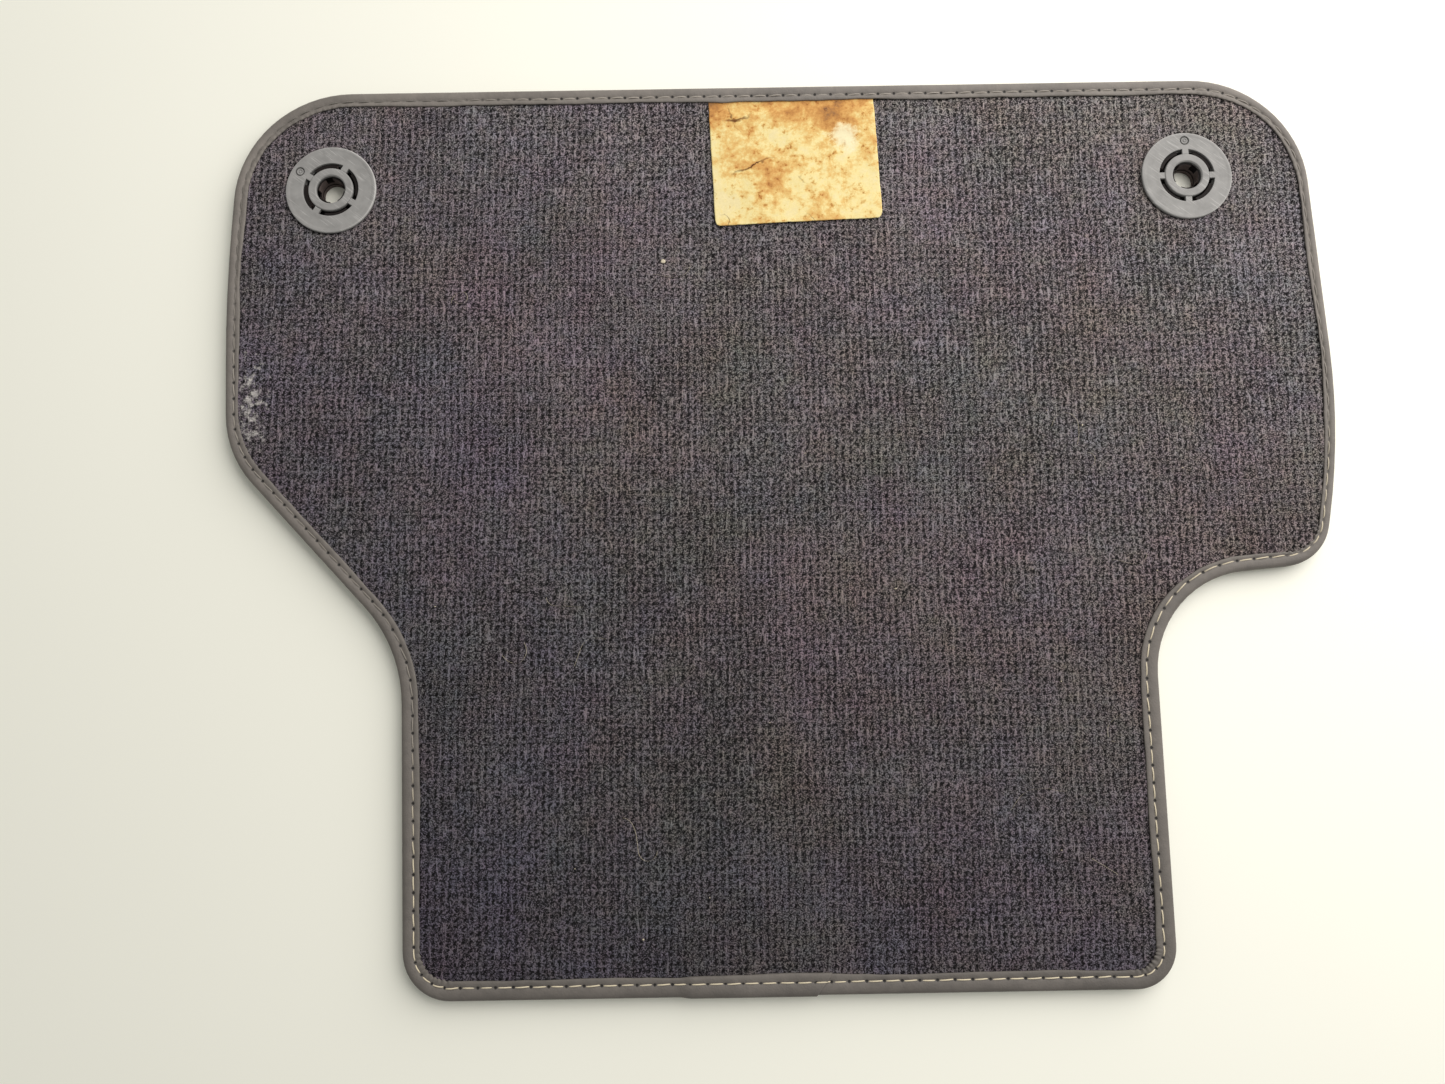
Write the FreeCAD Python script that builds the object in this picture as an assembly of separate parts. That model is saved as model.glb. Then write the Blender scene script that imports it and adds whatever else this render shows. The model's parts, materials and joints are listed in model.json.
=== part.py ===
import FreeCAD, Part
import math
import os

from FreeCAD import Vector

# A car floor mat lying face down: a carpet sandwich with a folded binding, a sewn paper label and
# two snap clips that take the studs of the car's floor. Millimetres. +Z points out of the backing,
# +X along the long side, and the origin is on the ground under the middle of the mat.

# Outline, clockwise from the top left: corner x and y, corner radius, and how far the binding
# reaches in over the backing on the side that starts at that corner.
OUTLINE = [
    (-252.4, 201.3, 54.0, 7.3),  # top left corner, then the top side
    (246.8, 209.8, 53.0, 5.2),  # top right corner, then the right side
    (255.8, 38.0, 320.0, 5.2),  # slow bow of the right side
    (244.0, -21.5, 22.0, 7.0),  # corner above the notch, then the notch's shelf
    (166.5, -29.5, 46.0, 8.5),  # hollow corner of the notch, then its upright side
    (169.0, -203.7, 18.0, 8.5),  # bottom right corner, then the bottom side
    (-160.5, -209.2, 21.0, 7.8),  # bottom left corner, then the lower left side
    (-167.0, -59.5, 66.0, 6.7),  # hollow bend, then the slanting side
    (-250.0, 27.5, 50.0, 6.2),  # rounded bend, then the left side
    (-254.5, 103.0, 795.0, 6.2),  # slow bow of the left side
]

# Heights of the carpet's layers, pile tips on the ground.
PILE_TOP = 4.4
PRIMARY_TOP = 4.8
LATEX_TOP = 6.2
BACKING_TOP = 7.2

# Binding: one strip folded over the edge, its ends overlapped on the bottom side.
STRIP = 0.7
STRIP_BOTTOM = 0.8
FOLD_ROUND = 1.6
EDGE_GAP = 0.05
OVERLAP_FROM = -38.0
OVERLAP_TO = 19.0
OVERLAP_STRIP = 0.6
OVERLAP_ROUND = 2.1

# Lockstitch: where the seam runs between the mat's edge (0) and the binding's inner edge (1).
SEAM_SHARE = 0.64
THREAD = 0.5
THREAD_SUNK = 0.15
THREAD_PROUD = 0.3

# Paper label, sewn under the binding's top side a little askew.
LABEL_WIDTH = 78.0
LABEL_DROP = 60.0
LABEL_PAPER = 0.25
LABEL_SEWN_IN = 5.0
LABEL_X = 7.4
LABEL_SKEW_DEG = 3.2
LABEL_ROUND = 2.5
LABEL_EDGE_SHOWS = 0.2
LABEL_EDGE_GAP = 0.7
LABEL_CLEAR = 0.3

# Snap clips: centre, and the clock position of the first of four webs in degrees.
CLIPS = {
    "left": (-207.7, 153.3, 59.0),
    "right": (192.2, 160.4, 1.0),
}
CLIP_HOLE_R = 14.4
# Back half: a plate on the backing, with a collar that goes down into the mat's hole.
PLATE_R = 21.0
PLATE_BOTTOM = 7.3
PLATE_TOP = 8.9
PLATE_ROUND = 1.1
COLLAR_OUT_R = 14.1
COLLAR_IN_R = 12.35
COLLAR_BOTTOM = 4.6
LEDGE_TOP = 7.0
SLOT_OUT_R = 12.9
SLOT_IN_R = 10.4
WEB = 3.0
HUB_R = 6.7
HUB_TOP = 9.2
HUB_ROUND = 0.5
MARK_R = 2.0
MARK_AT = 17.2
MARK_DEEP = 0.15
# Face half: a flange in the pile, a sleeve for the stud and four hooks that snap into the slots.
FLANGE_R = 19.0
FLANGE_BOTTOM = 0.4
FLANGE_TOP = 2.2
FLANGE_ROUND = 0.8
POCKET_CLEAR = 0.3
SLEEVE_OUT_R = 6.5
SLEEVE_IN_R = 5.7
SLEEVE_TOP = 7.7
STUD_R = 5.3
STUD_GRIP_TOP = 2.6
FINGER_GAP_DEG = 34.0
FINGER_BOTTOM = 4.2
HOOK_IN_R = 11.3
HOOK_OUT_R = 12.1
HOOK_TOP = 8.0
HOOK_SPAN_DEG = 52.0
BARB_R = 12.65
BARB_BOTTOM = 7.1


def sides(inset, share):
    """Direction and inset of each side. The inset grows with the binding's width by share."""
    found = []
    for i, (x, y, _, width) in enumerate(OUTLINE):
        end = OUTLINE[(i + 1) % len(OUTLINE)]
        along = Vector(end[0] - x, end[1] - y, 0).normalize()
        inward = Vector(along.y, -along.x, 0)
        depth = inset + share * width
        found.append((Vector(x, y, 0) + inward * depth, along, depth))
    return found


def crossing(point_a, along_a, point_b, along_b):
    """Where two lines in the ground plane cross."""
    gap = point_b - point_a
    turn = along_a.x * along_b.y - along_a.y * along_b.x
    return point_a + along_a * ((gap.x * along_b.y - gap.y * along_b.x) / turn)


def loop(inset=0.0, share=0.0):
    """The outline as a closed wire of straight sides and arcs, moved in from the edge."""
    found = sides(inset, share)
    arcs = []
    for i, (_, _, radius, _) in enumerate(OUTLINE):
        point_in, along_in, depth_in = found[i - 1]
        point_out, along_out, depth_out = found[i]
        corner = crossing(point_in, along_in, point_out, along_out)
        turn = math.atan2(along_in.cross(along_out).z, along_in.dot(along_out))
        depth = (depth_in + depth_out) / 2
        radius += depth if turn > 0 else -depth
        reach = radius * math.tan(abs(turn) / 2)
        to_middle = radius / math.cos(turn / 2) - radius
        towards_centre = (along_out - along_in).normalize()
        start = corner - along_in * reach
        end = corner + along_out * reach
        arcs.append((start, corner + towards_centre * to_middle, end))
    edges = []
    for i, (start, middle, end) in enumerate(arcs):
        edges.append(Part.Arc(start, middle, end).toShape())
        edges.append(Part.LineSegment(end, arcs[(i + 1) % len(arcs)][0]).toShape())
    return Part.Wire(edges)


def slab(wire, bottom, top):
    """The area inside a wire, from one height to another."""
    return Part.Face(wire).extrude(Vector(0, 0, top - bottom)).translated(Vector(0, 0, bottom))


def cylinder(radius, bottom, top, x=0.0, y=0.0):
    return Part.makeCylinder(radius, top - bottom, Vector(x, y, bottom))


def ring(inner, outer, bottom, top):
    return cylinder(outer, bottom, top).cut(cylinder(inner, bottom, top))


def wedge(radius, span_deg, bottom, top):
    """A slice of a cylinder, centred on +X."""
    slice_ = Part.makeCylinder(
        radius, top - bottom, Vector(0, 0, bottom), Vector(0, 0, 1), span_deg
    )
    slice_.rotate(Vector(0, 0, 0), Vector(0, 0, 1), -span_deg / 2)
    return slice_


def turned(shape, angle_deg):
    copy = shape.copy()
    copy.rotate(Vector(0, 0, 0), Vector(0, 0, 1), angle_deg)
    return copy


def round_rim(shape, radius, rim_radius, height):
    """Fillets the full circles of one radius at one height."""
    rims = []
    for edge in shape.Edges:
        if not isinstance(edge.Curve, Part.Circle):
            continue
        same_height = abs(edge.BoundBox.ZMin - height) < 1e-6 and edge.BoundBox.ZLength < 1e-6
        if same_height and abs(edge.Curve.Radius - rim_radius) < 1e-6:
            rims.append(edge)
    return shape.makeFillet(radius, rims)


def layer(bottom, top):
    """A carpet layer inside the binding's fold, with the holes for both clips."""
    sheet = slab(loop(STRIP + EDGE_GAP), bottom, top)
    for x, y, _ in CLIPS.values():
        sheet = sheet.cut(cylinder(CLIP_HOLE_R, bottom, top, x, y))
    return sheet


def pile_carpet():
    """Pile that stands down to the ground, pressed thin under the binding and the clips."""
    under_fold = STRIP_BOTTOM + STRIP
    pile = layer(under_fold, PILE_TOP).fuse(slab(loop(EDGE_GAP, 1.0), 0.0, under_fold))
    for x, y, _ in CLIPS.values():
        pile = pile.cut(cylinder(CLIP_HOLE_R, 0.0, PILE_TOP, x, y))
        pocket_r = FLANGE_R + POCKET_CLEAR
        pile = pile.cut(cylinder(pocket_r, 0.0, FLANGE_TOP + POCKET_CLEAR, x, y))
    return pile.removeSplitter()


def folded_strip(bottom, top, inset, rounding):
    """The strip's outer skin with both long edges of the fold rounded."""
    body = slab(loop(inset), bottom, top)
    rims = [e for e in body.Edges if e.BoundBox.ZLength < 1e-6]
    return body.makeFillet(rounding, rims)


def seam(bottom, top):
    """A thread that follows the binding, square in section."""
    outer = slab(loop(-THREAD / 2, SEAM_SHARE), bottom, top)
    return outer.cut(slab(loop(THREAD / 2, SEAM_SHARE), bottom, top))


def over_the_ends(shape):
    """The part of a shape that lies where the binding's ends overlap."""
    box = Part.makeBox(
        OVERLAP_TO - OVERLAP_FROM, 40.0, 40.0, Vector(OVERLAP_FROM, -230.0, -10.0)
    )
    return shape.common(box)


def needle_thread():
    top = BACKING_TOP + STRIP
    thread = seam(top - THREAD_SUNK, top + THREAD_PROUD)
    lifted = over_the_ends(seam(top - THREAD_SUNK, top + OVERLAP_STRIP + THREAD_PROUD))
    return thread.fuse(lifted).removeSplitter()


def bobbin_thread():
    thread = seam(STRIP_BOTTOM - THREAD_PROUD, STRIP_BOTTOM + THREAD_SUNK)
    lowered = over_the_ends(seam(FLANGE_BOTTOM - THREAD_PROUD, STRIP_BOTTOM + THREAD_SUNK))
    return thread.fuse(lowered).removeSplitter()


def edge_binding(sewn_through):
    """The folded strip, doubled where its ends overlap, with grooves for what is sewn to it."""
    top = BACKING_TOP + STRIP
    strip = folded_strip(STRIP_BOTTOM, top, 0.0, FOLD_ROUND)
    ends = folded_strip(
        STRIP_BOTTOM - OVERLAP_STRIP, top + OVERLAP_STRIP, -OVERLAP_STRIP, OVERLAP_ROUND
    )
    strip = strip.fuse(over_the_ends(ends))
    strip = strip.cut(slab(loop(STRIP), STRIP_BOTTOM + STRIP, BACKING_TOP))
    strip = strip.cut(slab(loop(0.0, 1.0), -1.0, top + 2.0))
    for piece in sewn_through:
        strip = strip.cut(piece)
    return strip


def label_sheet(bottom):
    """The whole label's paper, before it is divided at the binding's inner edge."""
    sheet = Part.makeBox(
        LABEL_WIDTH, LABEL_DROP + 20.0, LABEL_PAPER, Vector(-LABEL_WIDTH / 2, -LABEL_DROP, bottom)
    )
    lower_corners = []
    for edge in sheet.Edges:
        if edge.BoundBox.ZLength > LABEL_PAPER / 2 and edge.BoundBox.YMax < 0:
            lower_corners.append(edge)
    sheet = sheet.makeFillet(LABEL_ROUND, lower_corners)
    sheet.rotate(Vector(0, 0, 0), Vector(0, 0, 1), LABEL_SKEW_DEG)
    point, along, _ = sides(0.0, 1.0)[0]
    y = point.y + (LABEL_X - point.x) * along.y / along.x
    return sheet.translated(Vector(LABEL_X, y, 0))


def label_edge():
    """The strip of the label that lies under the binding and is sewn in with it."""
    sheet = label_sheet(BACKING_TOP)
    sheet = sheet.common(slab(loop(-LABEL_SEWN_IN, 1.0), 0.0, 2 * BACKING_TOP))
    return sheet.cut(slab(loop(LABEL_EDGE_SHOWS, 1.0), 0.0, 2 * BACKING_TOP))


def label():
    """The free part of the label, which lifts about the binding's inner edge."""
    sheet = label_sheet(BACKING_TOP + LABEL_CLEAR)
    return sheet.common(slab(loop(LABEL_EDGE_GAP, 1.0), 0.0, 2 * BACKING_TOP))


def back_disc(first_web_deg):
    """The clip's back half: plate, hub, four slots between webs, and a collar with a ledge."""
    plate = cylinder(PLATE_R, PLATE_BOTTOM, PLATE_TOP)
    plate = round_rim(plate, PLATE_ROUND, PLATE_R, PLATE_TOP)
    disc = plate.fuse(cylinder(COLLAR_OUT_R, COLLAR_BOTTOM, PLATE_BOTTOM))
    disc = disc.cut(cylinder(COLLAR_IN_R, COLLAR_BOTTOM, LEDGE_TOP))
    disc = disc.cut(ring(SLOT_IN_R, SLOT_OUT_R, LEDGE_TOP, HUB_TOP))
    disc = disc.cut(cylinder(COLLAR_IN_R, LEDGE_TOP, PLATE_BOTTOM))
    hub = cylinder(SLOT_IN_R, PLATE_BOTTOM, HUB_TOP)
    hub = round_rim(hub, HUB_ROUND, SLOT_IN_R, HUB_TOP)
    disc = disc.fuse(hub)
    for quarter in range(4):
        web = Part.makeBox(
            SLOT_OUT_R, WEB, PLATE_TOP - PLATE_BOTTOM, Vector(0.8, -WEB / 2, PLATE_BOTTOM)
        )
        disc = disc.fuse(turned(web, first_web_deg + 90.0 * quarter))
    disc = disc.cut(cylinder(HUB_R, COLLAR_BOTTOM, HUB_TOP))
    mouth_bottom = Vector(0, 0, HUB_TOP - HUB_ROUND)
    disc = disc.cut(Part.makeCone(HUB_R, HUB_R + HUB_ROUND, HUB_ROUND, mouth_bottom))
    mark_x = MARK_AT * math.cos(math.radians(first_web_deg + 90.0))
    mark_y = MARK_AT * math.sin(math.radians(first_web_deg + 90.0))
    mark = cylinder(MARK_R, PLATE_TOP - MARK_DEEP, PLATE_TOP, mark_x, mark_y)
    return disc.cut(mark).removeSplitter()


def face_disc(first_web_deg):
    """The clip's face half: flange, slit sleeve that narrows to grip the stud, and four hooks."""
    flange = cylinder(FLANGE_R, FLANGE_BOTTOM, FLANGE_TOP)
    flange = round_rim(flange, FLANGE_ROUND, FLANGE_R, FLANGE_BOTTOM)
    disc = flange.fuse(cylinder(SLEEVE_OUT_R, FLANGE_TOP, SLEEVE_TOP))
    disc = disc.cut(cylinder(SLEEVE_IN_R, STUD_GRIP_TOP, SLEEVE_TOP))
    disc = disc.cut(cylinder(STUD_R, FLANGE_BOTTOM, STUD_GRIP_TOP))
    hook = ring(HOOK_IN_R, HOOK_OUT_R, FLANGE_TOP, HOOK_TOP)
    hook = hook.fuse(ring(HOOK_IN_R, BARB_R, BARB_BOTTOM, HOOK_TOP))
    hook = hook.common(wedge(PLATE_R, HOOK_SPAN_DEG, FLANGE_TOP, HOOK_TOP))
    gap = wedge(HOOK_IN_R, FINGER_GAP_DEG, FINGER_BOTTOM, SLEEVE_TOP)
    for quarter in range(4):
        between_webs = first_web_deg + 45.0 + 90.0 * quarter
        disc = disc.fuse(turned(hook, between_webs))
        disc = disc.cut(turned(gap, between_webs))
    return disc.removeSplitter()


def main():
    nodes = {
        "pile_carpet": pile_carpet(),
        "primary_backing": layer(PILE_TOP, PRIMARY_TOP),
        "latex_layer": layer(PRIMARY_TOP, LATEX_TOP),
        "backing_fabric": layer(LATEX_TOP, BACKING_TOP),
        "needle_thread": needle_thread(),
        "bobbin_thread": bobbin_thread(),
        "label_edge": label_edge(),
        "label": label(),
    }
    sewn_through = [nodes["needle_thread"], nodes["bobbin_thread"], nodes["label_edge"]]
    nodes["edge_binding"] = edge_binding(sewn_through)
    for side, (x, y, first_web_deg) in CLIPS.items():
        nodes[side + "_back_disc"] = back_disc(first_web_deg).translated(Vector(x, y, 0))
        nodes[side + "_face_disc"] = face_disc(first_web_deg).translated(Vector(x, y, 0))
    os.makedirs("parts", exist_ok=True)
    for name, shape in nodes.items():
        shape.exportStep("parts/" + name + ".step")
        box = shape.optimalBoundingBox()
        print(
            f"{name}: valid {shape.isValid()}, solids {len(shape.Solids)},",
            f"volume {shape.Volume:.1f},",
            f"x {box.XMin:.2f} {box.XMax:.2f}, y {box.YMin:.2f} {box.YMax:.2f},",
            f"z {box.ZMin:.2f} {box.ZMax:.2f}",
        )


main()
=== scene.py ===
import json
import math

import bmesh
import bpy
import numpy as np
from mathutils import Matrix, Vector, kdtree, noise


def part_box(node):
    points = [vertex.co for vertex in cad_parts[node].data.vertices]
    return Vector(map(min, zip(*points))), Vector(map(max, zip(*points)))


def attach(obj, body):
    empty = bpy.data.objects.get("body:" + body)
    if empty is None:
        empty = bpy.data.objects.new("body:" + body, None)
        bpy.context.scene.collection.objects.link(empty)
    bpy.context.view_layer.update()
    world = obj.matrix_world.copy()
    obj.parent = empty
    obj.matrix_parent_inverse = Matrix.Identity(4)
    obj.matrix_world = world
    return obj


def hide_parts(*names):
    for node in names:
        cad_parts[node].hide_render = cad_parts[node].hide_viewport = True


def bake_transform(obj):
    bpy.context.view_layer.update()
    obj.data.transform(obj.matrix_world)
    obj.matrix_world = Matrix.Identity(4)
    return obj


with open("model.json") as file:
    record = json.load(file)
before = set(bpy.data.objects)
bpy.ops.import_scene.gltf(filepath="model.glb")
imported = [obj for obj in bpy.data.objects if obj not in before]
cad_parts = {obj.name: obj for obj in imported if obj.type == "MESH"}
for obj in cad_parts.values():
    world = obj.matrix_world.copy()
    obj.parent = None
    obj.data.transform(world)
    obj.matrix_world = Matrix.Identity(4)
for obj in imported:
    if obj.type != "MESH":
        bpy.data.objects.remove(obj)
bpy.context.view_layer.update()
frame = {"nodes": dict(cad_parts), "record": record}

MM = 0.001
# Where chalk has rubbed into the backing, in metres.
CHALK_AT = (-0.2398, 0.0485)
# Direction of one web of each clip's back half, in degrees.
FIRST_WEB = {"left": 59.0, "right": 1.0}

bl_info = {
    "name": "Car floor mat",
    "version": (1, 0, 0),
    "blender": (4, 5, 0),
    "location": "3D View > Sidebar > Floor Mat",
    "description": "Builds the looks of a car floor mat that lies face down",
    "category": "Add Mesh",
}


# ---------------------------------------------------------------- sizes and colours


def srgb(hex_colour):
    """An sRGB hex colour as linear red, green, blue and alpha."""
    channels = [int(hex_colour[i : i + 2], 16) / 255 for i in (1, 3, 5)]
    linear = [c / 12.92 if c <= 0.04045 else ((c + 0.055) / 1.055) ** 2.4 for c in channels]
    return (*linear, 1.0)


def length(name, description, default):
    """A length property in metres."""
    return bpy.props.FloatProperty(
        name=name, description=description, default=default, unit="LENGTH", precision=5
    )


def colour(name, description, hex_colour):
    """A colour property, given as sRGB hex and kept linear."""
    return bpy.props.FloatVectorProperty(
        name=name, description=description, default=srgb(hex_colour), size=4, subtype="COLOR"
    )


class FloorMatSizes(bpy.types.PropertyGroup):
    """Sizes of the mat's soft parts."""

    gauge: length("Tufting gauge", "Distance between the rows of the tufting", 3.175 * MM)
    rib_height: length("Rib height", "How far the backing's ribs stand up", 0.42 * MM)
    stitch: length("Stitch length", "Distance between needle holes", 7.5 * MM)
    thread: length("Thread", "Diameter of the sewing thread", 0.55 * MM)
    strip: length("Strip", "Thickness of the binding's leatherette", 0.7 * MM)
    overlap: length("Overlap", "How far the binding's ends overlap", 57.0 * MM)
    paper: length("Paper", "Thickness of the label's paper", 0.25 * MM)
    pile: length("Pile tufts", "Size of one tuft of the pile", 2.2 * MM)
    turn: bpy.props.FloatProperty(
        name="Row angle",
        description="Angle of the tufting rows to the long side",
        default=math.radians(0.76),
        subtype="ANGLE",
    )


class FloorMatColours(bpy.types.PropertyGroup):
    """Colours of the mat's materials."""

    backing: colour("Backing", "Middle tone of the backing", "#4b4649")
    binding: colour("Binding", "Leatherette of the binding", "#6e6964")
    thread_light: colour("Light thread", "Thread where it is clean", "#e8dcc0")
    thread_grey: colour("Grey thread", "Thread where it is pulled in and dusty", "#b4aca2")
    paper: colour("Label", "Clean paper of the label", "#fdeaa6")
    stain: colour("Stain", "Brown stains on the label", "#c68c4c")
    clip_back: colour("Clip", "Plastic of the clips' back halves", "#91908e")
    clip_face: colour("Clip face", "Plastic of the clips' face halves", "#5a4f4c")
    pile: colour("Pile", "Velour of the face side", "#3a3636")
    floor: colour("Floor", "Pale table under the mat", "#fafaee")


# ---------------------------------------------------------------- outline from the frame


def top_rim(node, height):
    """Rims of a CAD node at one height, as lists of 2-D points, longest first."""
    mesh = bmesh.new()
    mesh.from_mesh(frame["nodes"][node].data)
    bmesh.ops.remove_doubles(mesh, verts=mesh.verts, dist=1e-6)
    neighbours = {}
    for edge in mesh.edges:
        if any(abs(v.co.z - height) > 1e-5 for v in edge.verts):
            continue
        level = sum(abs(face.normal.z) > 0.9 for face in edge.link_faces)
        if len(edge.link_faces) == 2 and level == 1:
            a, b = edge.verts
            neighbours.setdefault(a, []).append(b)
            neighbours.setdefault(b, []).append(a)
    rims = []
    while neighbours:
        start = next(iter(neighbours))
        rim, here = [], start
        while here in neighbours:
            rim.append((here.co.x, here.co.y))
            onward = [v for v in neighbours.pop(here) if v in neighbours]
            here = onward[0] if onward else None
        rims.append(np.array(rim))
    mesh.free()
    return sorted(rims, key=path_length, reverse=True)


def path_length(points):
    """Length of a closed line."""
    return float(np.linalg.norm(np.roll(points, -1, 0) - points, axis=1).sum())


def resampled(points, count):
    """A closed line again, with evenly spaced points."""
    closed = np.vstack([points, points[:1]])
    along = np.concatenate([[0], np.cumsum(np.linalg.norm(np.diff(closed, axis=0), axis=1))])
    at = np.linspace(0, along[-1], count, endpoint=False)
    return np.stack([np.interp(at, along, closed[:, k]) for k in range(2)], axis=1)


def smoothed(values, reach):
    """Closed-loop values averaged over a window of reach samples each way."""
    weights = np.hanning(2 * reach + 3)[1:-1]
    weights /= weights.sum()
    return sum(w * np.roll(values, i - reach, axis=0) for i, w in enumerate(weights))


def counter_clockwise(points):
    """A closed line, turned round if it runs clockwise."""
    x, y = points[:, 0], points[:, 1]
    turned = (x * np.roll(y, -1) - y * np.roll(x, -1)).sum() > 0
    return points if turned else points[::-1]


class Edge:
    """The mat's edge, followed anticlockwise from where the binding's first end lies."""

    def __init__(self, sizes):
        self.backing_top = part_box("backing_fabric")[1][2]
        mat_low, mat_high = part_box("edge_binding")
        rim = top_rim("backing_fabric", self.backing_top)[0]
        inner = top_rim("pile_carpet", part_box("pile_carpet")[0][2])[0]
        step = 0.8 * MM
        count = int(path_length(rim) / step)
        outer = resampled(counter_clockwise(rim), count)
        first = np.argmin(np.hypot(outer[:, 0] + sizes.overlap * 0.67, outer[:, 1] - mat_low[1]))
        outer = np.roll(outer, -first, axis=0)
        along = smoothed(np.roll(outer, -1, 0) - np.roll(outer, 1, 0), 3)
        along /= np.linalg.norm(along, axis=1)[:, None]
        self.inward = np.stack([-along[:, 1], along[:, 0]], axis=1)
        gap = mat_high[0] - outer[:, 0].max()
        self.points = outer - self.inward * gap
        tree = kdtree.KDTree(4 * count)
        for i, (x, y) in enumerate(resampled(inner, 4 * count)):
            tree.insert((x, y, 0), i)
        tree.balance()
        reach = [tree.find((x, y, 0))[2] for x, y in self.points]
        self.width = smoothed(np.array(reach), int(9 * MM / step))
        self.length = path_length(self.points)
        self.step = self.length / count
        heading = np.arctan2(along[:, 1], along[:, 0])
        turn = (np.roll(heading, -1) - heading + math.pi) % (2 * math.pi) - math.pi
        self.bend = smoothed(turn / self.step, int(3 * MM / step))

    def at(self, distance):
        """Point, inward direction, width and bend at distances along the edge."""
        place = np.asarray(distance) / self.step
        low = np.floor(place).astype(int)
        share = (place - low)[..., None]
        count = len(self.points)
        found = []
        for values in (self.points, self.inward, self.width, self.bend):
            a, b = values[low % count], values[(low + 1) % count]
            weight = share if values.ndim == 2 else share[..., 0]
            found.append(a * (1 - weight) + b * weight)
        return found


def wander(along, period, loop_length, seed):
    """Smooth noise from -1 to 1 that closes on itself round the edge."""
    cycles = max(1, round(loop_length / period))
    rng = np.random.default_rng(seed)
    total = np.zeros_like(along)
    for harmonic in range(1, cycles + 1):
        size = rng.normal() / math.sqrt(cycles)
        phase = rng.uniform(0, 2 * math.pi)
        total += size * np.sin(2 * math.pi * harmonic * along / loop_length + phase)
    return total


# ---------------------------------------------------------------- mesh helpers


def new_piece(name, points, faces, uvs=None):
    """A smooth-shaded mesh object, with a UV layer from one pair per point if given."""
    mesh = bpy.data.meshes.new(name)
    mesh.from_pydata([tuple(p) for p in points], [], [tuple(f) for f in faces])
    mesh.update()
    if uvs is not None:
        layer = mesh.uv_layers.new(name="pattern")
        corners = np.zeros(len(mesh.loops), np.int32)
        mesh.loops.foreach_get("vertex_index", corners)
        layer.data.foreach_set("uv", np.asarray(uvs, np.float32)[corners].ravel())
    mesh.polygons.foreach_set("use_smooth", [True] * len(mesh.polygons))
    piece = bpy.data.objects.new(name, mesh)
    bpy.context.scene.collection.objects.link(piece)
    return piece


def grid_faces(rows, columns, close_rows=False, close_columns=False):
    """Quads of a grid of points, row by row."""
    faces = []
    for i in range(rows if close_rows else rows - 1):
        for j in range(columns if close_columns else columns - 1):
            ahead, beside = (i + 1) % rows, (j + 1) % columns
            faces.append(
                (i * columns + j, i * columns + beside, ahead * columns + beside, ahead * columns + j)
            )
    return faces


def inside(points, loop):
    """Which 2-D points lie inside a closed line."""
    hits = np.zeros(len(points), bool)
    x, y = points[:, 0], points[:, 1]
    for a, b in zip(loop, np.roll(loop, -1, 0)):
        crosses = (a[1] > y) != (b[1] > y)
        if a[1] != b[1]:
            hits ^= crosses & (x < (b[0] - a[0]) * (y - a[1]) / (b[1] - a[1]) + a[0])
    return hits


def finish_piece(piece, material, body, slot, *nodes):
    """Gives a piece its material, its body and the CAD nodes it stands for; the slot is not used."""
    piece.data.materials.clear()
    piece.data.materials.append(material)
    if nodes:
        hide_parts(*nodes)
    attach(piece, body)
    return piece


# ---------------------------------------------------------------- material helpers


def add(tree, kind, values=None, links=None, stops=None, **settings):
    """Adds a shader node: settings are its attributes, values its inputs, links what feeds them.

    Stops are a colour scale's positions and linear colours."""
    node = tree.nodes.new("ShaderNode" + kind)
    for key, value in settings.items():
        setattr(node, key, value)
    for key, value in (values or {}).items():
        node.inputs[key].default_value = value
    for key, socket in (links or {}).items():
        tree.links.new(socket, node.inputs[key])
    if stops:
        elements = node.color_ramp.elements
        while len(elements) > 1:
            elements.remove(elements[-1])
        elements[0].position = stops[0][0]
        for position, _ in stops[1:]:
            elements.new(position)
        for element, (_, value) in zip(elements, stops):
            element.color = value if len(value) == 4 else (*value, 1.0)
    return node


def new_material(name):
    """An empty node material with its surface shader and the object's coordinates."""
    material = bpy.data.materials.new(name)
    material.use_nodes = True
    tree = material.node_tree
    tree.nodes.clear()
    shader = add(tree, "BsdfPrincipled")
    add(tree, "OutputMaterial", links={"Surface": shader.outputs[0]})
    place = add(tree, "TexCoord").outputs["Object"]
    return material, tree, shader, place


def shade(linear, factor):
    """A linear colour made lighter or darker."""
    r, g, b, _ = linear
    return (r * factor, g * factor, b * factor, 1.0)


def mixed_tone(tree, parts, start):
    """Sum of node outputs, each taken from its middle value and weighted."""
    total = None
    for source, middle, weight in parts:
        offset = start - middle * weight if total is None else -middle * weight
        scaled = add(tree, "Math", {1: weight, 2: offset}, {0: source}, operation="MULTIPLY_ADD")
        if total is None:
            total = scaled.outputs[0]
        else:
            total = add(tree, "Math", links={0: total, 1: scaled.outputs[0]}).outputs[0]
    return total


# ---------------------------------------------------------------- materials
# A pattern's scale is its repeats per metre: 1000 draws features of about one millimetre.


def closed_corner(tree, place):
    """Near 1 on the corner by the left clip, where the leatherette has closed over the seam."""
    away = add(
        tree, "VectorMath", {1: (-0.235, 0.190, 0.0)}, {0: place}, operation="DISTANCE"
    ).outputs["Value"]
    return add(
        tree, "MapRange", {"From Min": 0.075, "From Max": 0.13, "To Min": 0.9, "To Max": 0.0},
        {"Value": away}, clamp=True,
    ).outputs[0]


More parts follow.
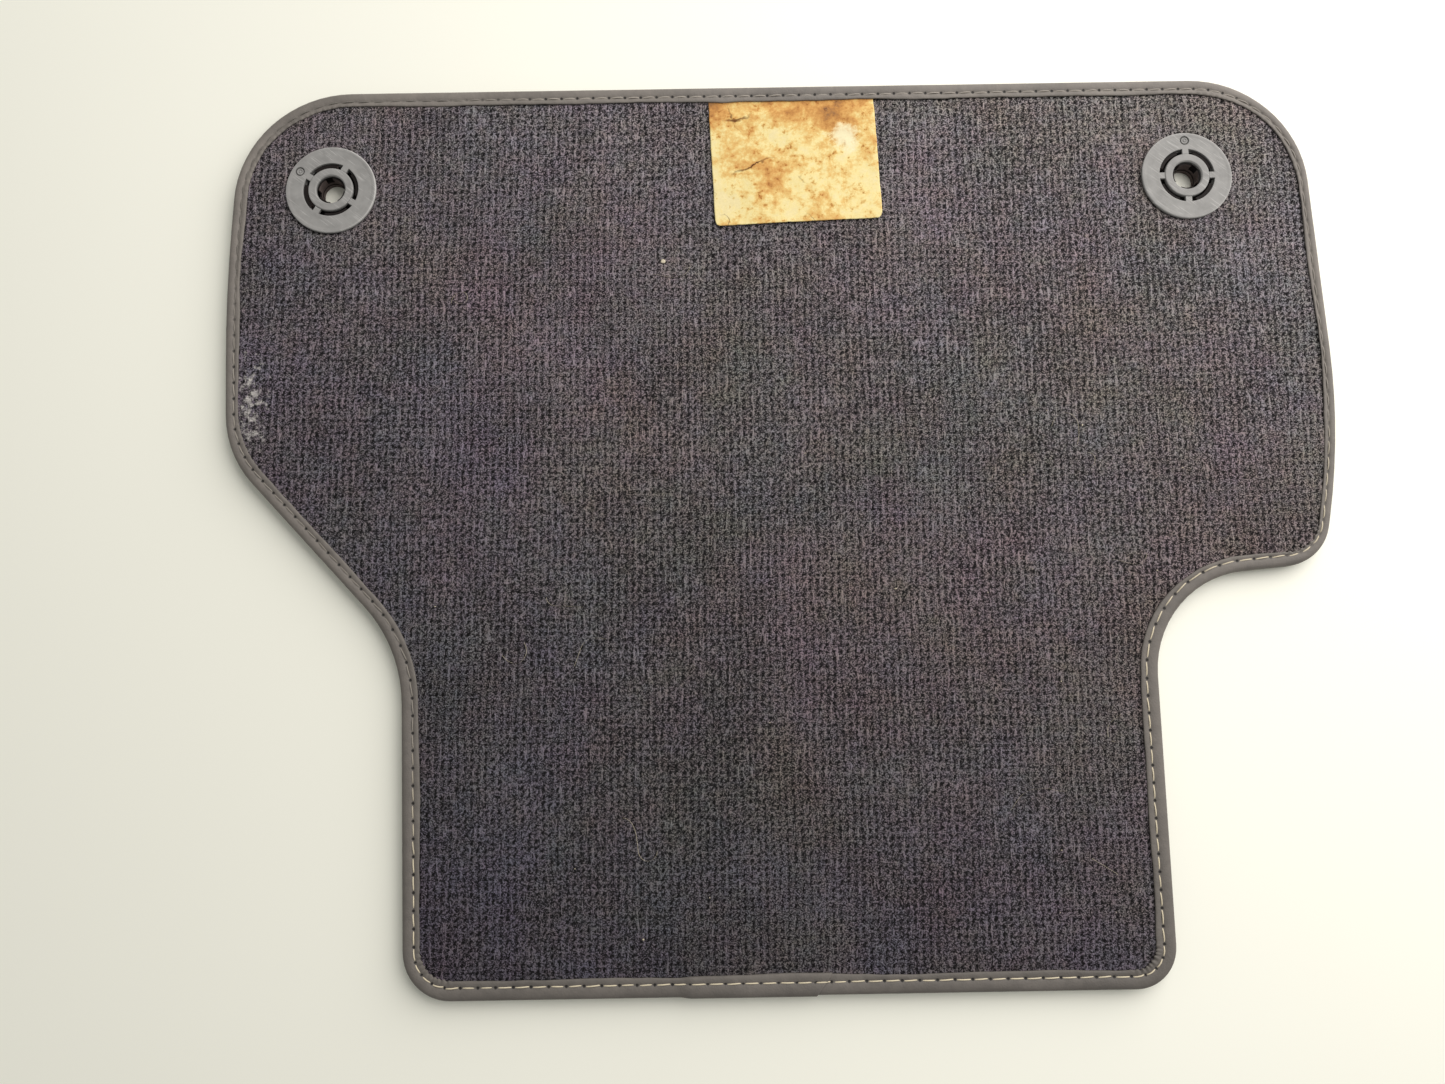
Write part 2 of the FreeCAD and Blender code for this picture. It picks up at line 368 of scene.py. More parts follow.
def woven_backing(colours):
    """Tufted polypropylene backing, latex-dipped: matt, ribbed in rows, one pit to each tuft.

    The pits and ribs repeat at the tufting gauge; the pits and the troughs between the ribs are painted
    darker as painted shade, and the whole cloth is painted lighter towards the top and right as painted
    light. The yarn's own fibres, 0.03 mm, are too fine to show, so the grain is drawn at 0.7 mm. Thick
    places in the yarn are 1.3 mm by 8 mm."""
    material, tree, shader, place = new_material("tufted_backing_latex_dipped")
    cells = add(tree, "UVMap", uv_map="pattern").outputs[0]
    cell = add(tree, "VectorMath", links={0: cells}, operation="FLOOR").outputs[0]
    chance = add(tree, "TexWhiteNoise", links={"Vector": cell}, noise_dimensions="2D")
    local = add(tree, "VectorMath", links={0: cells}, operation="FRACTION").outputs[0]
    # Each pit sits a little off the middle of its cell.
    shift = add(
        tree, "VectorMath", {1: (0.26, 0.26, 0), 2: (-0.63, -0.63, 0)},
        {0: chance.outputs["Color"]}, operation="MULTIPLY_ADD",
    ).outputs[0]
    centred = add(tree, "VectorMath", links={0: local, 1: shift}, operation="ADD").outputs[0]
    slanted = add(
        tree, "Mapping", {"Rotation": (0, 0, math.radians(58)), "Scale": (0.44, 0.25, 1)},
        {"Vector": centred}, vector_type="TEXTURE",
    ).outputs[0]
    distance = add(tree, "VectorMath", links={0: slanted}, operation="LENGTH").outputs["Value"]
    hollow = add(
        tree, "MapRange", {"From Min": 0.15, "From Max": 1.05, "To Min": 1.0, "To Max": 0.0},
        {"Value": distance}, interpolation_type="SMOOTHSTEP",
    ).outputs[0]
    depth = add(tree, "Math", {1: 0.8, 2: 0.6}, {0: chance.outputs["Value"]}, operation="MULTIPLY_ADD")
    pit = add(tree, "Math", links={0: hollow, 1: depth.outputs[0]}, operation="MULTIPLY").outputs[0]
    rib = add(
        tree, "TexWave", {"Scale": 0.31416}, {"Vector": cells}, wave_type="BANDS",
        bands_direction="X", wave_profile="SIN",
    ).outputs["Fac"]
    grain = add(
        tree, "TexNoise", {"Scale": 1350.0, "Detail": 2.0, "Roughness": 0.8}, {"Vector": place}
    ).outputs[0]
    knots = add(
        tree, "TexNoise", {"Scale": 560.0, "Detail": 2.0, "Roughness": 0.6}, {"Vector": place}
    ).outputs[0]
    patches = add(
        tree, "TexNoise", {"Scale": 22.0, "Detail": 3.0, "Roughness": 0.6}, {"Vector": place}
    ).outputs[0]
    stretched = add(tree, "Mapping", {"Scale": (760.0, 120.0, 1.0)}, {"Vector": place}).outputs[0]
    thick = add(
        tree, "TexNoise", {"Scale": 1.0, "Detail": 1.0, "Roughness": 0.5}, {"Vector": stretched}
    ).outputs[0]
    slub = add(
        tree, "MapRange", {"From Min": 0.62, "From Max": 0.73}, {"Value": thick}, clamp=True
    ).outputs[0]
    # The tone drops in the pits and in the troughs between the ribs: painted shade.
    tone = mixed_tone(
        tree,
        [(grain, 0.5, 4.4), (knots, 0.5, 0.8), (patches, 0.5, 0.4), (rib, 0.5, -0.13),
         (slub, 0.1, 0.8), (pit, 0.25, -0.52)],
        0.52,
    )
    base, slub_yarn = tuple(colours.backing), srgb("#4e494b")
    body = add(
        tree, "ValToRGB", links={0: tone},
        stops=[(0.0, shade(base, 0.07)), (0.25, shade(base, 0.36)), (0.5, shade(base, 0.95)),
               (0.75, shade(slub_yarn, 1.9)), (1.0, shade(slub_yarn, 3.7))],
    ).outputs[0]
    # Dyed fibres from many lots: patches lean to plum, olive and tan.
    lots = add(tree, "TexNoise", {"Scale": 8.0, "Detail": 9.0, "Roughness": 0.88}, {"Vector": place})
    tint = add(
        tree, "MapRange",
        {7: (0.38, 0.38, 0.38), 8: (0.62, 0.62, 0.62), 9: (0.88, 0.93, 0.87),
         10: (1.12, 1.06, 1.16)},
        {6: lots.outputs["Color"]}, data_type="FLOAT_VECTOR", clamp=True,
    ).outputs["Vector"]
    tinted = add(tree, "VectorMath", links={0: body, 1: tint}, operation="MULTIPLY").outputs[0]
    # Painted light: the cloth is painted lighter towards the top and right and darker towards the bottom
    # and left, with red and green changing a little more than blue.
    split = add(tree, "SeparateXYZ", links={0: place})
    x_at, y_at = split.outputs["X"], split.outputs["Y"]
    painted_light_warm = mixed_tone(tree, [(y_at, 0.0, 1.9), (x_at, 0.0, 0.72)], 1.05)
    painted_light_blue = mixed_tone(tree, [(y_at, 0.0, 1.65), (x_at, 0.0, 0.5)], 1.04)
    tone_variation = add(tree, "CombineXYZ", links={0: painted_light_warm, 1: painted_light_warm, 2: painted_light_blue}).outputs[0]
    tinted = add(tree, "VectorMath", links={0: tinted, 1: tone_variation}, operation="MULTIPLY").outputs[0]
    # Chalk rubbed into the cloth at one place by the edge.
    x, y = CHALK_AT
    from_chalk = add(
        tree, "Mapping", {"Location": (-x / 0.006, -y / 0.018, 0), "Scale": (1 / 0.006, 1 / 0.018, 0)},
        {"Vector": place},
    ).outputs[0]
    far = add(tree, "VectorMath", links={0: from_chalk}, operation="LENGTH").outputs["Value"]
    smear = add(
        tree, "TexNoise", {"Scale": 260.0, "Detail": 4.0, "Roughness": 0.75}, {"Vector": place}
    ).outputs[0]
    near = mixed_tone(tree, [(far, 0.0, -0.30), (smear, 0.5, 2.6)], 0.22)
    chalk = add(
        tree, "MapRange", {"From Min": 0.0, "From Max": 0.45, "To Max": 0.9}, {"Value": near},
        clamp=True,
    ).outputs[0]
    rubbed = add(
        tree, "Mix", {7: srgb("#e6e1dc")}, {0: chalk, 6: tinted}, data_type="RGBA"
    ).outputs[2]
    tree.links.new(rubbed, shader.inputs["Base Color"])
    bump = add(tree, "Bump", {"Strength": 0.9, "Distance": 0.45 * MM}, {"Height": tone}).outputs[0]
    tree.links.new(bump, shader.inputs["Normal"])
    shader.inputs["Roughness"].default_value = 0.92
    shader.inputs["IOR"].default_value = 1.49
    shader.inputs["Specular IOR Level"].default_value = 0.25
    return material


def leatherette(colours):
    """Embossed PVC leatherette: satin, finely pebbled, soiled in patches, painted lighter towards the top
    as painted light, with painted shade at each needle hole.

    The pebbles, really 0.3 mm wide, are drawn at 0.7 mm so that they show."""
    material, tree, shader, place = new_material("leatherette_embossed")
    strip = add(tree, "UVMap", uv_map="pattern").outputs[0]
    pebbles = add(
        tree, "TexVoronoi", {"Scale": 1500.0, "Randomness": 1.0}, {"Vector": place}, feature="F1"
    ).outputs["Distance"]
    creases = add(
        tree, "TexNoise", {"Scale": 260.0, "Detail": 4.0, "Roughness": 0.6, "Distortion": 0.4},
        {"Vector": place},
    ).outputs[0]
    tone_variation = add(
        tree, "TexNoise", {"Scale": 34.0, "Detail": 5.0, "Roughness": 0.62}, {"Vector": place}
    ).outputs[0]
    base = tuple(colours.binding)
    body = add(
        tree, "ValToRGB", links={0: tone_variation},
        stops=[(0.30, shade(base, 0.80)), (0.5, shade(base, 1.0)), (0.72, shade(base, 1.18))],
    ).outputs[0]
    fine = add(
        tree, "ValToRGB", links={0: creases},
        stops=[(0.3, (0.90, 0.90, 0.90)), (0.7, (1.07, 1.06, 1.05))],
    ).outputs[0]
    mottled = add(tree, "VectorMath", links={0: body, 1: fine}, operation="MULTIPLY").outputs[0]
    # Needle holes, painted as dark spots of painted shade: one to each whole number along the strip, on
    # the seam line.
    wrapped = add(tree, "VectorMath", {1: (0.5, 0, 0)}, {0: strip}, operation="ADD").outputs[0]
    wrapped = add(tree, "VectorMath", {1: (1, 1000, 1)}, {0: wrapped}, operation="MODULO").outputs[0]
    from_hole = add(
        tree, "VectorMath", {1: (-0.5, 0, 0)}, {0: wrapped}, operation="ADD"
    ).outputs[0]
    scaled = add(
        tree, "VectorMath", {1: (7.5, 1.0, 0)}, {0: from_hole}, operation="MULTIPLY"
    ).outputs[0]
    distance = add(tree, "VectorMath", links={0: scaled}, operation="LENGTH").outputs["Value"]
    hole = add(
        tree, "MapRange", {"From Min": 0.42, "From Max": 0.85, "To Min": 0.12, "To Max": 1.0},
        {"Value": distance}, interpolation_type="SMOOTHSTEP",
    ).outputs[0]
    split = add(tree, "SeparateXYZ", links={0: place})
    right_side = add(
        tree, "MapRange", {"From Min": 0.212, "From Max": 0.232, "To Max": 0.8},
        {"Value": split.outputs["X"]}, clamp=True,
    ).outputs[0]
    closed = add(
        tree, "Math", links={0: closed_corner(tree, place), 1: right_side}, operation="MAXIMUM"
    ).outputs[0]
    hole = add(tree, "Mix", {3: 1.0}, {0: closed, 2: hole}, data_type="FLOAT").outputs[0]
    # Painted light: the binding is painted lighter towards the top and darker towards the bottom.
    painted_light_scale = mixed_tone(tree, [(split.outputs["Y"], 0.0, 0.9)], 1.05)
    painted_light_binding = add(tree, "VectorMath", links={0: mottled, "Scale": painted_light_scale}, operation="SCALE").outputs[0]
    coloured = add(
        tree, "VectorMath", links={0: painted_light_binding, "Scale": hole}, operation="SCALE"
    ).outputs[0]
    tree.links.new(coloured, shader.inputs["Base Color"])
    height = add(tree, "Math", {1: 0.5}, {0: creases, 2: pebbles}, operation="MULTIPLY_ADD").outputs[0]
    height = add(tree, "Math", {1: 2.0}, {0: hole, 2: height}, operation="MULTIPLY_ADD").outputs[0]
    bump = add(
        tree, "Bump", {"Strength": 0.5, "Distance": 0.16 * MM}, {"Height": height}
    ).outputs[0]
    tree.links.new(bump, shader.inputs["Normal"])
    gloss = add(
        tree, "MapRange", {"From Min": 0.3, "From Max": 0.7, "To Min": 0.58, "To Max": 0.76},
        {"Value": tone_variation},
    ).outputs[0]
    tree.links.new(gloss, shader.inputs["Roughness"])
    shader.inputs["IOR"].default_value = 1.53
    shader.inputs["Specular IOR Level"].default_value = 0.35
    return material


def twisted_thread(colours):
    """Twisted polyester thread: two plies, pale and clean on one side of the mat, grey elsewhere.

    A ply crosses the thread every 0.7 mm."""
    material, tree, shader, place = new_material("polyester_thread_twisted")
    strand = add(tree, "UVMap", uv_map="pattern").outputs[0]
    plies = add(
        tree, "TexWave", {"Scale": 1.0, "Distortion": 0.6, "Detail": 1.0, "Detail Scale": 3.0},
        {"Vector": strand}, wave_type="BANDS", bands_direction="DIAGONAL",
    ).outputs["Fac"]
    # Clean thread lies along the side away from the clips, most of all to the right.
    soil = add(tree, "TexNoise", {"Scale": 60.0, "Detail": 3.0}, {"Vector": place}).outputs[0]
    split = add(tree, "SeparateXYZ", links={0: place})
    lean = mixed_tone(
        tree, [(split.outputs["X"], 0.0, 0.65), (split.outputs["Y"], 0.0, -1.8), (soil, 0.5, 0.12)],
        0.06,
    )
    clean = add(
        tree, "MapRange", {"From Min": -0.45, "From Max": 0.36}, {"Value": lean}, clamp=True
    ).outputs[0]
    grey = tuple(colours.thread_grey)
    tone = add(
        tree, "ValToRGB", links={0: clean},
        stops=[(0.15, shade(grey, 0.95)), (0.5, shade(grey, 0.55)), (0.72, shade(grey, 0.62)),
               (0.87, tuple(colours.thread_light))],
    ).outputs[0]
    ply_shade = add(
        tree, "ValToRGB", links={0: plies},
        stops=[(0.1, (0.62, 0.6, 0.57)), (0.6, (1.0, 1.0, 1.0))],
    ).outputs[0]
    plied = add(tree, "VectorMath", links={0: tone, 1: ply_shade}, operation="MULTIPLY").outputs[0]
    sunk = mixed_tone(tree, [(closed_corner(tree, place), 0.0, -0.72)], 1.0)
    final = add(tree, "VectorMath", links={0: plied, "Scale": sunk}, operation="SCALE").outputs[0]
    tree.links.new(final, shader.inputs["Base Color"])
    bump = add(
        tree, "Bump", {"Strength": 0.6, "Distance": 0.1 * MM}, {"Height": plies}
    ).outputs[0]
    tree.links.new(bump, shader.inputs["Normal"])
    shader.inputs["Roughness"].default_value = 0.6
    shader.inputs["Sheen Weight"].default_value = 0.2
    return material


def stained_paper(colours):
    """Uncoated label paper, yellowed: cloudy damp stains, foxing specks, cracks along its folds.

    The paper's fibres are drawn at 0.9 mm, coarser than they are, so that they show."""
    material, tree, shader, place = new_material("label_paper_stained")
    sheet = add(tree, "UVMap", uv_map="pattern").outputs[0]
    clouds = add(
        tree, "TexNoise", {"Scale": 75.0, "Detail": 5.0, "Roughness": 0.68, "Distortion": 0.3},
        {"Vector": place},
    ).outputs[0]
    broad = add(
        tree, "TexNoise", {"Scale": 30.0, "Detail": 2.0, "Roughness": 0.5}, {"Vector": place}
    ).outputs[0]
    fibres = add(
        tree, "TexNoise", {"Scale": 1100.0, "Detail": 3.0, "Roughness": 0.7}, {"Vector": place}
    ).outputs[0]
    spots = add(
        tree, "TexNoise", {"Scale": 330.0, "Detail": 3.0, "Roughness": 0.65}, {"Vector": place}
    ).outputs[0]
    split = add(tree, "SeparateXYZ", links={0: sheet})
    darkening = add(
        tree, "MapRange", {"From Min": 0.72, "From Max": 0.95, "To Max": 0.13},
        {"Value": split.outputs["Y"]}, clamp=True,
    ).outputs[0]
    stain = mixed_tone(
        tree, [(clouds, 0.5, 0.56), (broad, 0.5, 0.3), (spots, 0.5, 0.3), (darkening, 0.0, 1.0)], 0.485
    )
    paper, brown = tuple(colours.paper), tuple(colours.stain)
    body = add(
        tree, "ValToRGB", links={0: stain},
        stops=[(0.38, srgb("#fbebb4")), (0.46, paper), (0.53, srgb("#efc87c")), (0.60, srgb("#dfa860")),
               (0.67, brown), (0.78, srgb("#86644a"))],
    ).outputs[0]
    foxing = add(
        tree, "ValToRGB", links={0: spots},
        stops=[(0.60, (1, 1, 1)), (0.67, (0.80, 0.66, 0.50)), (0.75, (0.46, 0.32, 0.22))],
    ).outputs[0]
    aged = add(tree, "VectorMath", links={0: body, 1: foxing}, operation="MULTIPLY").outputs[0]
    # The top surface has peeled off at one place, and clean paper shows.
    peel_place = add(
        tree, "Mapping", {"Location": (-0.81 * 9, -0.70 * 7, 0), "Scale": (9, 7, 0)},
        {"Vector": sheet},
    ).outputs[0]
    away = add(tree, "VectorMath", links={0: peel_place}, operation="LENGTH").outputs["Value"]
    ragged = mixed_tone(tree, [(away, 0.0, 1.0), (clouds, 0.5, 2.2), (spots, 0.5, 1.2)], 0.0)
    peeled = add(
        tree, "MapRange", {"From Min": 0.40, "From Max": 0.95, "To Min": 0.85, "To Max": 0.0},
        {"Value": ragged}, clamp=True,
    ).outputs[0]
    patched = add(
        tree, "Mix", {7: srgb("#fff6cf")}, {0: peeled, 6: aged}, data_type="RGBA"
    ).outputs[2]
    # Elsewhere cracks are long thin lines that come and go.
    wavy = add(
        tree, "TexNoise", {"Scale": 120.0, "Detail": 3.0, "Roughness": 0.6}, {"Vector": place}
    ).outputs["Color"]
    bent = add(
        tree, "VectorMath", {1: (0.012, 0.012, 0)}, {0: wavy, 2: place}, operation="MULTIPLY_ADD"
    ).outputs[0]
    fold_lines = add(
        tree, "TexVoronoi", {"Scale": 33.0, "Randomness": 1.0}, {"Vector": bent},
        feature="DISTANCE_TO_EDGE", voronoi_dimensions="2D",
    ).outputs["Distance"]
    some = add(
        tree, "TexNoise", {"Scale": 52.0, "Detail": 1.0, "Roughness": 0.5}, {"Vector": place}
    ).outputs[0]
    line = mixed_tone(tree, [(fold_lines, 0.0, 30.0), (some, 0.5, -3.2)], 1.1)
    # Two cracks have set places: a short open one near the top, a long fine one lower.
    torn = add(
        tree, "VectorMath", {1: (0.16, 0.16, 0), 2: (-0.08, -0.08, 0)}, {0: wavy},
        operation="MULTIPLY_ADD",
    ).outputs[0]
    torn = add(tree, "VectorMath", links={0: sheet, 1: torn}, operation="ADD").outputs[0]
    for middle, slant, half, thin in (((0.17, 0.87), 22, 0.10, 55.0), ((0.24, 0.47), 24, 0.17, 85.0)):
        near_crack = add(
            tree, "Mapping",
            {"Location": (*middle, 0), "Rotation": (0, 0, math.radians(slant)),
             "Scale": (half, 1.0 / thin, 1.0)},
            {"Vector": torn}, vector_type="TEXTURE",
        ).outputs[0]
        gap = add(tree, "VectorMath", links={0: near_crack}, operation="LENGTH").outputs["Value"]
        line = add(tree, "Math", links={0: line, 1: gap}, operation="MINIMUM").outputs[0]
    crack = add(
        tree, "MapRange", {"From Min": 0.3, "From Max": 1.0}, {"Value": line}, clamp=True
    ).outputs[0]
    crack_tone = add(
        tree, "ValToRGB", links={0: crack},
        stops=[(0.0, (0.20, 0.13, 0.09)), (1.0, (0.86, 0.86, 0.86))],
    ).outputs[0]
    cracked = add(
        tree, "VectorMath", links={0: patched, 1: crack_tone}, operation="MULTIPLY"
    ).outputs[0]
    texture = add(
        tree, "ValToRGB", links={0: fibres},
        stops=[(0.3, (0.93, 0.92, 0.90)), (0.7, (1.04, 1.04, 1.04))],
    ).outputs[0]
    final = add(tree, "VectorMath", links={0: cracked, 1: texture}, operation="MULTIPLY").outputs[0]
    tree.links.new(final, shader.inputs["Base Color"])
    height = mixed_tone(tree, [(fibres, 0.5, 0.5), (clouds, 0.5, 1.0), (crack, 0.5, 1.5)], 0.5)
    bump = add(tree, "Bump", {"Strength": 0.35, "Distance": 0.2 * MM}, {"Height": height}).outputs[0]
    tree.links.new(bump, shader.inputs["Normal"])
    shader.inputs["Roughness"].default_value = 0.85
    shader.inputs["IOR"].default_value = 1.5
    shader.inputs["Specular IOR Level"].default_value = 0.3
    return material


def moulded_plastic(name, base, scuffs, roughness, darkening):
    """Injection-moulded polypropylene: waxy satin from a spark-eroded mould, hazed where rubbed.

    The last argument is the share of the colour left on faces that look up: painted shade on the faces
    that lie deep in the slots and hole. The spark-eroded grain, really
    0.05 mm, is drawn at 0.4 mm so that it shows."""
    material, tree, shader, place = new_material(name)
    spark = add(
        tree, "TexNoise", {"Scale": 2600.0, "Detail": 3.0, "Roughness": 0.7}, {"Vector": place}
    ).outputs[0]
    haze = add(
        tree, "TexNoise", {"Scale": 120.0, "Detail": 5.0, "Roughness": 0.65}, {"Vector": place}
    ).outputs[0]
    long_place = add(
        tree, "Mapping", {"Rotation": (0, 0, math.radians(52)), "Scale": (1 / 2600, 1 / 90, 1.0)},
        {"Vector": place}, vector_type="TEXTURE",
    ).outputs[0]
    scratches = add(
        tree, "TexNoise", {"Scale": 1.0, "Detail": 1.0, "Roughness": 0.4}, {"Vector": long_place}
    ).outputs[0]
    body = add(
        tree, "ValToRGB", links={0: haze},
        stops=[(0.32, shade(base, 0.86)), (0.5, shade(base, 1.0)), (0.7, shade(base, 1.14))],
    ).outputs[0]
    scuff = add(
        tree, "ValToRGB", links={0: scratches},
        stops=[(0.62, (1, 1, 1)), (0.72, (scuffs, scuffs, scuffs))],
    ).outputs[0]
    scuffed = add(tree, "VectorMath", links={0: body, 1: scuff}, operation="MULTIPLY").outputs[0]
    # The pattern map says how far the rim is painted paler (above 0) and where painted shade darkens the
    # mark's groove, the walls and the collar (below).
    pale_rim_and_shade = add(tree, "SeparateXYZ", links={0: add(tree, "UVMap", uv_map="pattern").outputs[0]})
    rim_and_shade_factor = add(
        tree, "MapRange", {"From Min": -1.0, "From Max": 1.0, "To Min": 0.35, "To Max": 1.65},
        {"Value": pale_rim_and_shade.outputs["X"]}, clamp=True,
    ).outputs[0]
    # Faces that look up keep only the given share of their colour: painted shade.
    facing = add(tree, "SeparateXYZ", links={0: add(tree, "NewGeometry").outputs["Normal"]})
    painted_shade_up_faces = add(
        tree, "MapRange", {"From Min": 0.3, "From Max": 0.9, "To Min": 1.0, "To Max": darkening},
        {"Value": facing.outputs["Z"]}, clamp=True,
    ).outputs[0]
    left = add(tree, "Math", links={0: rim_and_shade_factor, 1: painted_shade_up_faces}, operation="MULTIPLY").outputs[0]
    final = add(tree, "VectorMath", links={0: scuffed, "Scale": left}, operation="SCALE").outputs[0]
    tree.links.new(final, shader.inputs["Base Color"])
    height = add(tree, "Math", {1: 0.3}, {0: scratches, 2: spark}, operation="MULTIPLY_ADD").outputs[0]
    bump = add(
        tree, "Bump", {"Strength": 0.25, "Distance": 0.08 * MM}, {"Height": height}
    ).outputs[0]
    tree.links.new(bump, shader.inputs["Normal"])
    gloss = add(
        tree, "MapRange",
        {"From Min": 0.3, "From Max": 0.7, "To Min": roughness - 0.06, "To Max": roughness + 0.1},
        {"Value": haze},
    ).outputs[0]
    tree.links.new(gloss, shader.inputs["Roughness"])
    shader.inputs["IOR"].default_value = 1.49
    shader.inputs["Specular IOR Level"].default_value = 0.18
    return material


def velour(sizes, colours):
    """Cut-pile velour: dense upright fibres, soft at the edges of the light, shaded in patches.

    The fibres, really 0.04 mm, are drawn at 0.4 mm so that they show."""
    material, tree, shader, place = new_material("velour_cut_pile")
    tufts = add(
        tree, "TexVoronoi", {"Scale": 1.0 / (sizes.pile * 0.5)}, {"Vector": place}, feature="F1"
    )
    fibres = add(
        tree, "TexNoise", {"Scale": 2400.0, "Detail": 2.0, "Roughness": 0.7}, {"Vector": place}
    ).outputs[0]
    brushed = add(tree, "TexNoise", {"Scale": 16.0, "Detail": 3.0}, {"Vector": place}).outputs[0]
    base = tuple(colours.pile)
    body = add(
        tree, "ValToRGB", links={0: fibres},
        stops=[(0.3, shade(base, 0.45)), (0.55, shade(base, 1.0)), (0.75, shade(base, 2.2))],
    ).outputs[0]
    patches = add(
        tree, "ValToRGB", links={0: brushed},
        stops=[(0.35, (0.75, 0.75, 0.76)), (0.65, (1.2, 1.18, 1.16))],
    ).outputs[0]
    final = add(tree, "VectorMath", links={0: body, 1: patches}, operation="MULTIPLY").outputs[0]
    tree.links.new(final, shader.inputs["Base Color"])
    height = add(
        tree, "Math", {1: 0.5}, {0: fibres, 2: tufts.outputs["Distance"]}, operation="MULTIPLY_ADD"
    ).outputs[0]
    bump = add(
        tree, "Bump", {"Strength": 0.9, "Distance": 0.5 * MM}, {"Height": height}
    ).outputs[0]
    tree.links.new(bump, shader.inputs["Normal"])
    shader.inputs["Roughness"].default_value = 0.95
    shader.inputs["Specular IOR Level"].default_value = 0.15
    shader.inputs["Sheen Weight"].default_value = 0.35
    shader.inputs["Sheen Roughness"].default_value = 0.45
    return material


def hidden_layer(name, base, scale, rough):
    """A plain inner layer: woven polypropylene or latex compound, seen only at a cut."""
    material, tree, shader, place = new_material(name)
    grain = add(
        tree, "TexNoise", {"Scale": scale, "Detail": 3.0, "Roughness": 0.6}, {"Vector": place}
    ).outputs[0]
    body = add(
        tree, "ValToRGB", links={0: grain},
        stops=[(0.3, shade(base, 0.7)), (0.7, shade(base, 1.3))],
    ).outputs[0]
    tree.links.new(body, shader.inputs["Base Color"])
    bump = add(
        tree, "Bump", {"Strength": 0.5, "Distance": 0.2 * MM}, {"Height": grain}
    ).outputs[0]
    tree.links.new(bump, shader.inputs["Normal"])
    shader.inputs["Roughness"].default_value = rough
    return material


def painted_table(colours):
    """Smooth laminate table top: pale, satin, very slightly uneven."""
    material, tree, shader, place = new_material("laminate_pale")
    cloud = add(tree, "TexNoise", {"Scale": 3.0, "Detail": 2.0}, {"Vector": place}).outputs[0]
    base = tuple(colours.floor)
    body = add(
        tree, "ValToRGB", links={0: cloud},
        stops=[(0.3, shade(base, 0.985)), (0.7, shade(base, 1.0))],
    ).outputs[0]
    tree.links.new(body, shader.inputs["Base Color"])
    shader.inputs["Roughness"].default_value = 0.55
    return material


# ---------------------------------------------------------------- pieces


def rows_at(x, y, sizes):
    """Row coordinates, in tufts, of a place on the mat."""
    turn = sizes.turn
    u = (x * math.cos(turn) + y * math.sin(turn)) / sizes.gauge
    v = (-x * math.sin(turn) + y * math.cos(turn)) / sizes.gauge
    return u, v


def clip_centres():
    """Where the two clips stand."""
    places = []
    for joint in frame["record"]["behaviour"]["joints"]:
        if joint["name"].endswith("clip_turn"):
            places.append(joint["pos_m"][:2])
    return places


def edge_inset(edge, share, extra=0.0):
    """The edge's line moved in by a share of the binding's width."""
    return edge.points + edge.inward * (edge.width * share + extra)[:, None]


def cloth_points(edge, sizes, spacing, trim, hole):
    """A grid along the rows, cut at the trim line and round the clips, its edge pulled to the cut."""
    low, high = edge.points.min(0), edge.points.max(0)
    reach = sizes.gauge * 4
    us = np.arange(low[0] - reach, high[0] + reach, spacing)
    vs = np.arange(low[1] - reach, high[1] + reach, spacing)
    row, column = np.meshgrid(np.round(us / spacing), np.round(vs / spacing), indexing="ij")
    turn = sizes.turn
    gx = (row * math.cos(turn) - column * math.sin(turn)) * spacing
    gy = (row * math.sin(turn) + column * math.cos(turn)) * spacing
    flat = np.stack([gx.ravel(), gy.ravel()], axis=1)
    keep = inside(flat, trim[::4])
    centres = clip_centres()
    for centre in centres:
        keep &= np.hypot(*(flat - centre).T) > hole
    rows, columns = gx.shape
    faces = np.array(grid_faces(rows, columns))
    faces = faces[keep[faces].all(axis=1)]
    uses = np.zeros(len(flat), int)
    np.add.at(uses, faces.ravel(), 1)
    tree = kdtree.KDTree(len(trim))
    for i, (x, y) in enumerate(trim):
        tree.insert((x, y, 0), i)
    tree.balance()
    for i in np.nonzero((uses > 0) & (uses < 4))[0]:
        place, _, far = tree.find((*flat[i], 0))
        if far < 2.2 * spacing:
            flat[i] = place[:2]
        for centre in centres:
            away = flat[i] - centre
            reach = np.hypot(*away)
            if reach < hole + 2.2 * spacing:
                flat[i] = centre + away * hole / reach
    used = np.nonzero(uses)[0]
    renumber = np.zeros(len(flat), int)
    renumber[used] = np.arange(len(used))
    return flat[used], renumber[faces]


def slow_waves(flat, scale, seed):
    """Gentle unevenness of a cloth that has been rolled and trodden on."""
    return np.array([noise.noise(Vector((x / scale, y / scale, seed))) for x, y in flat])


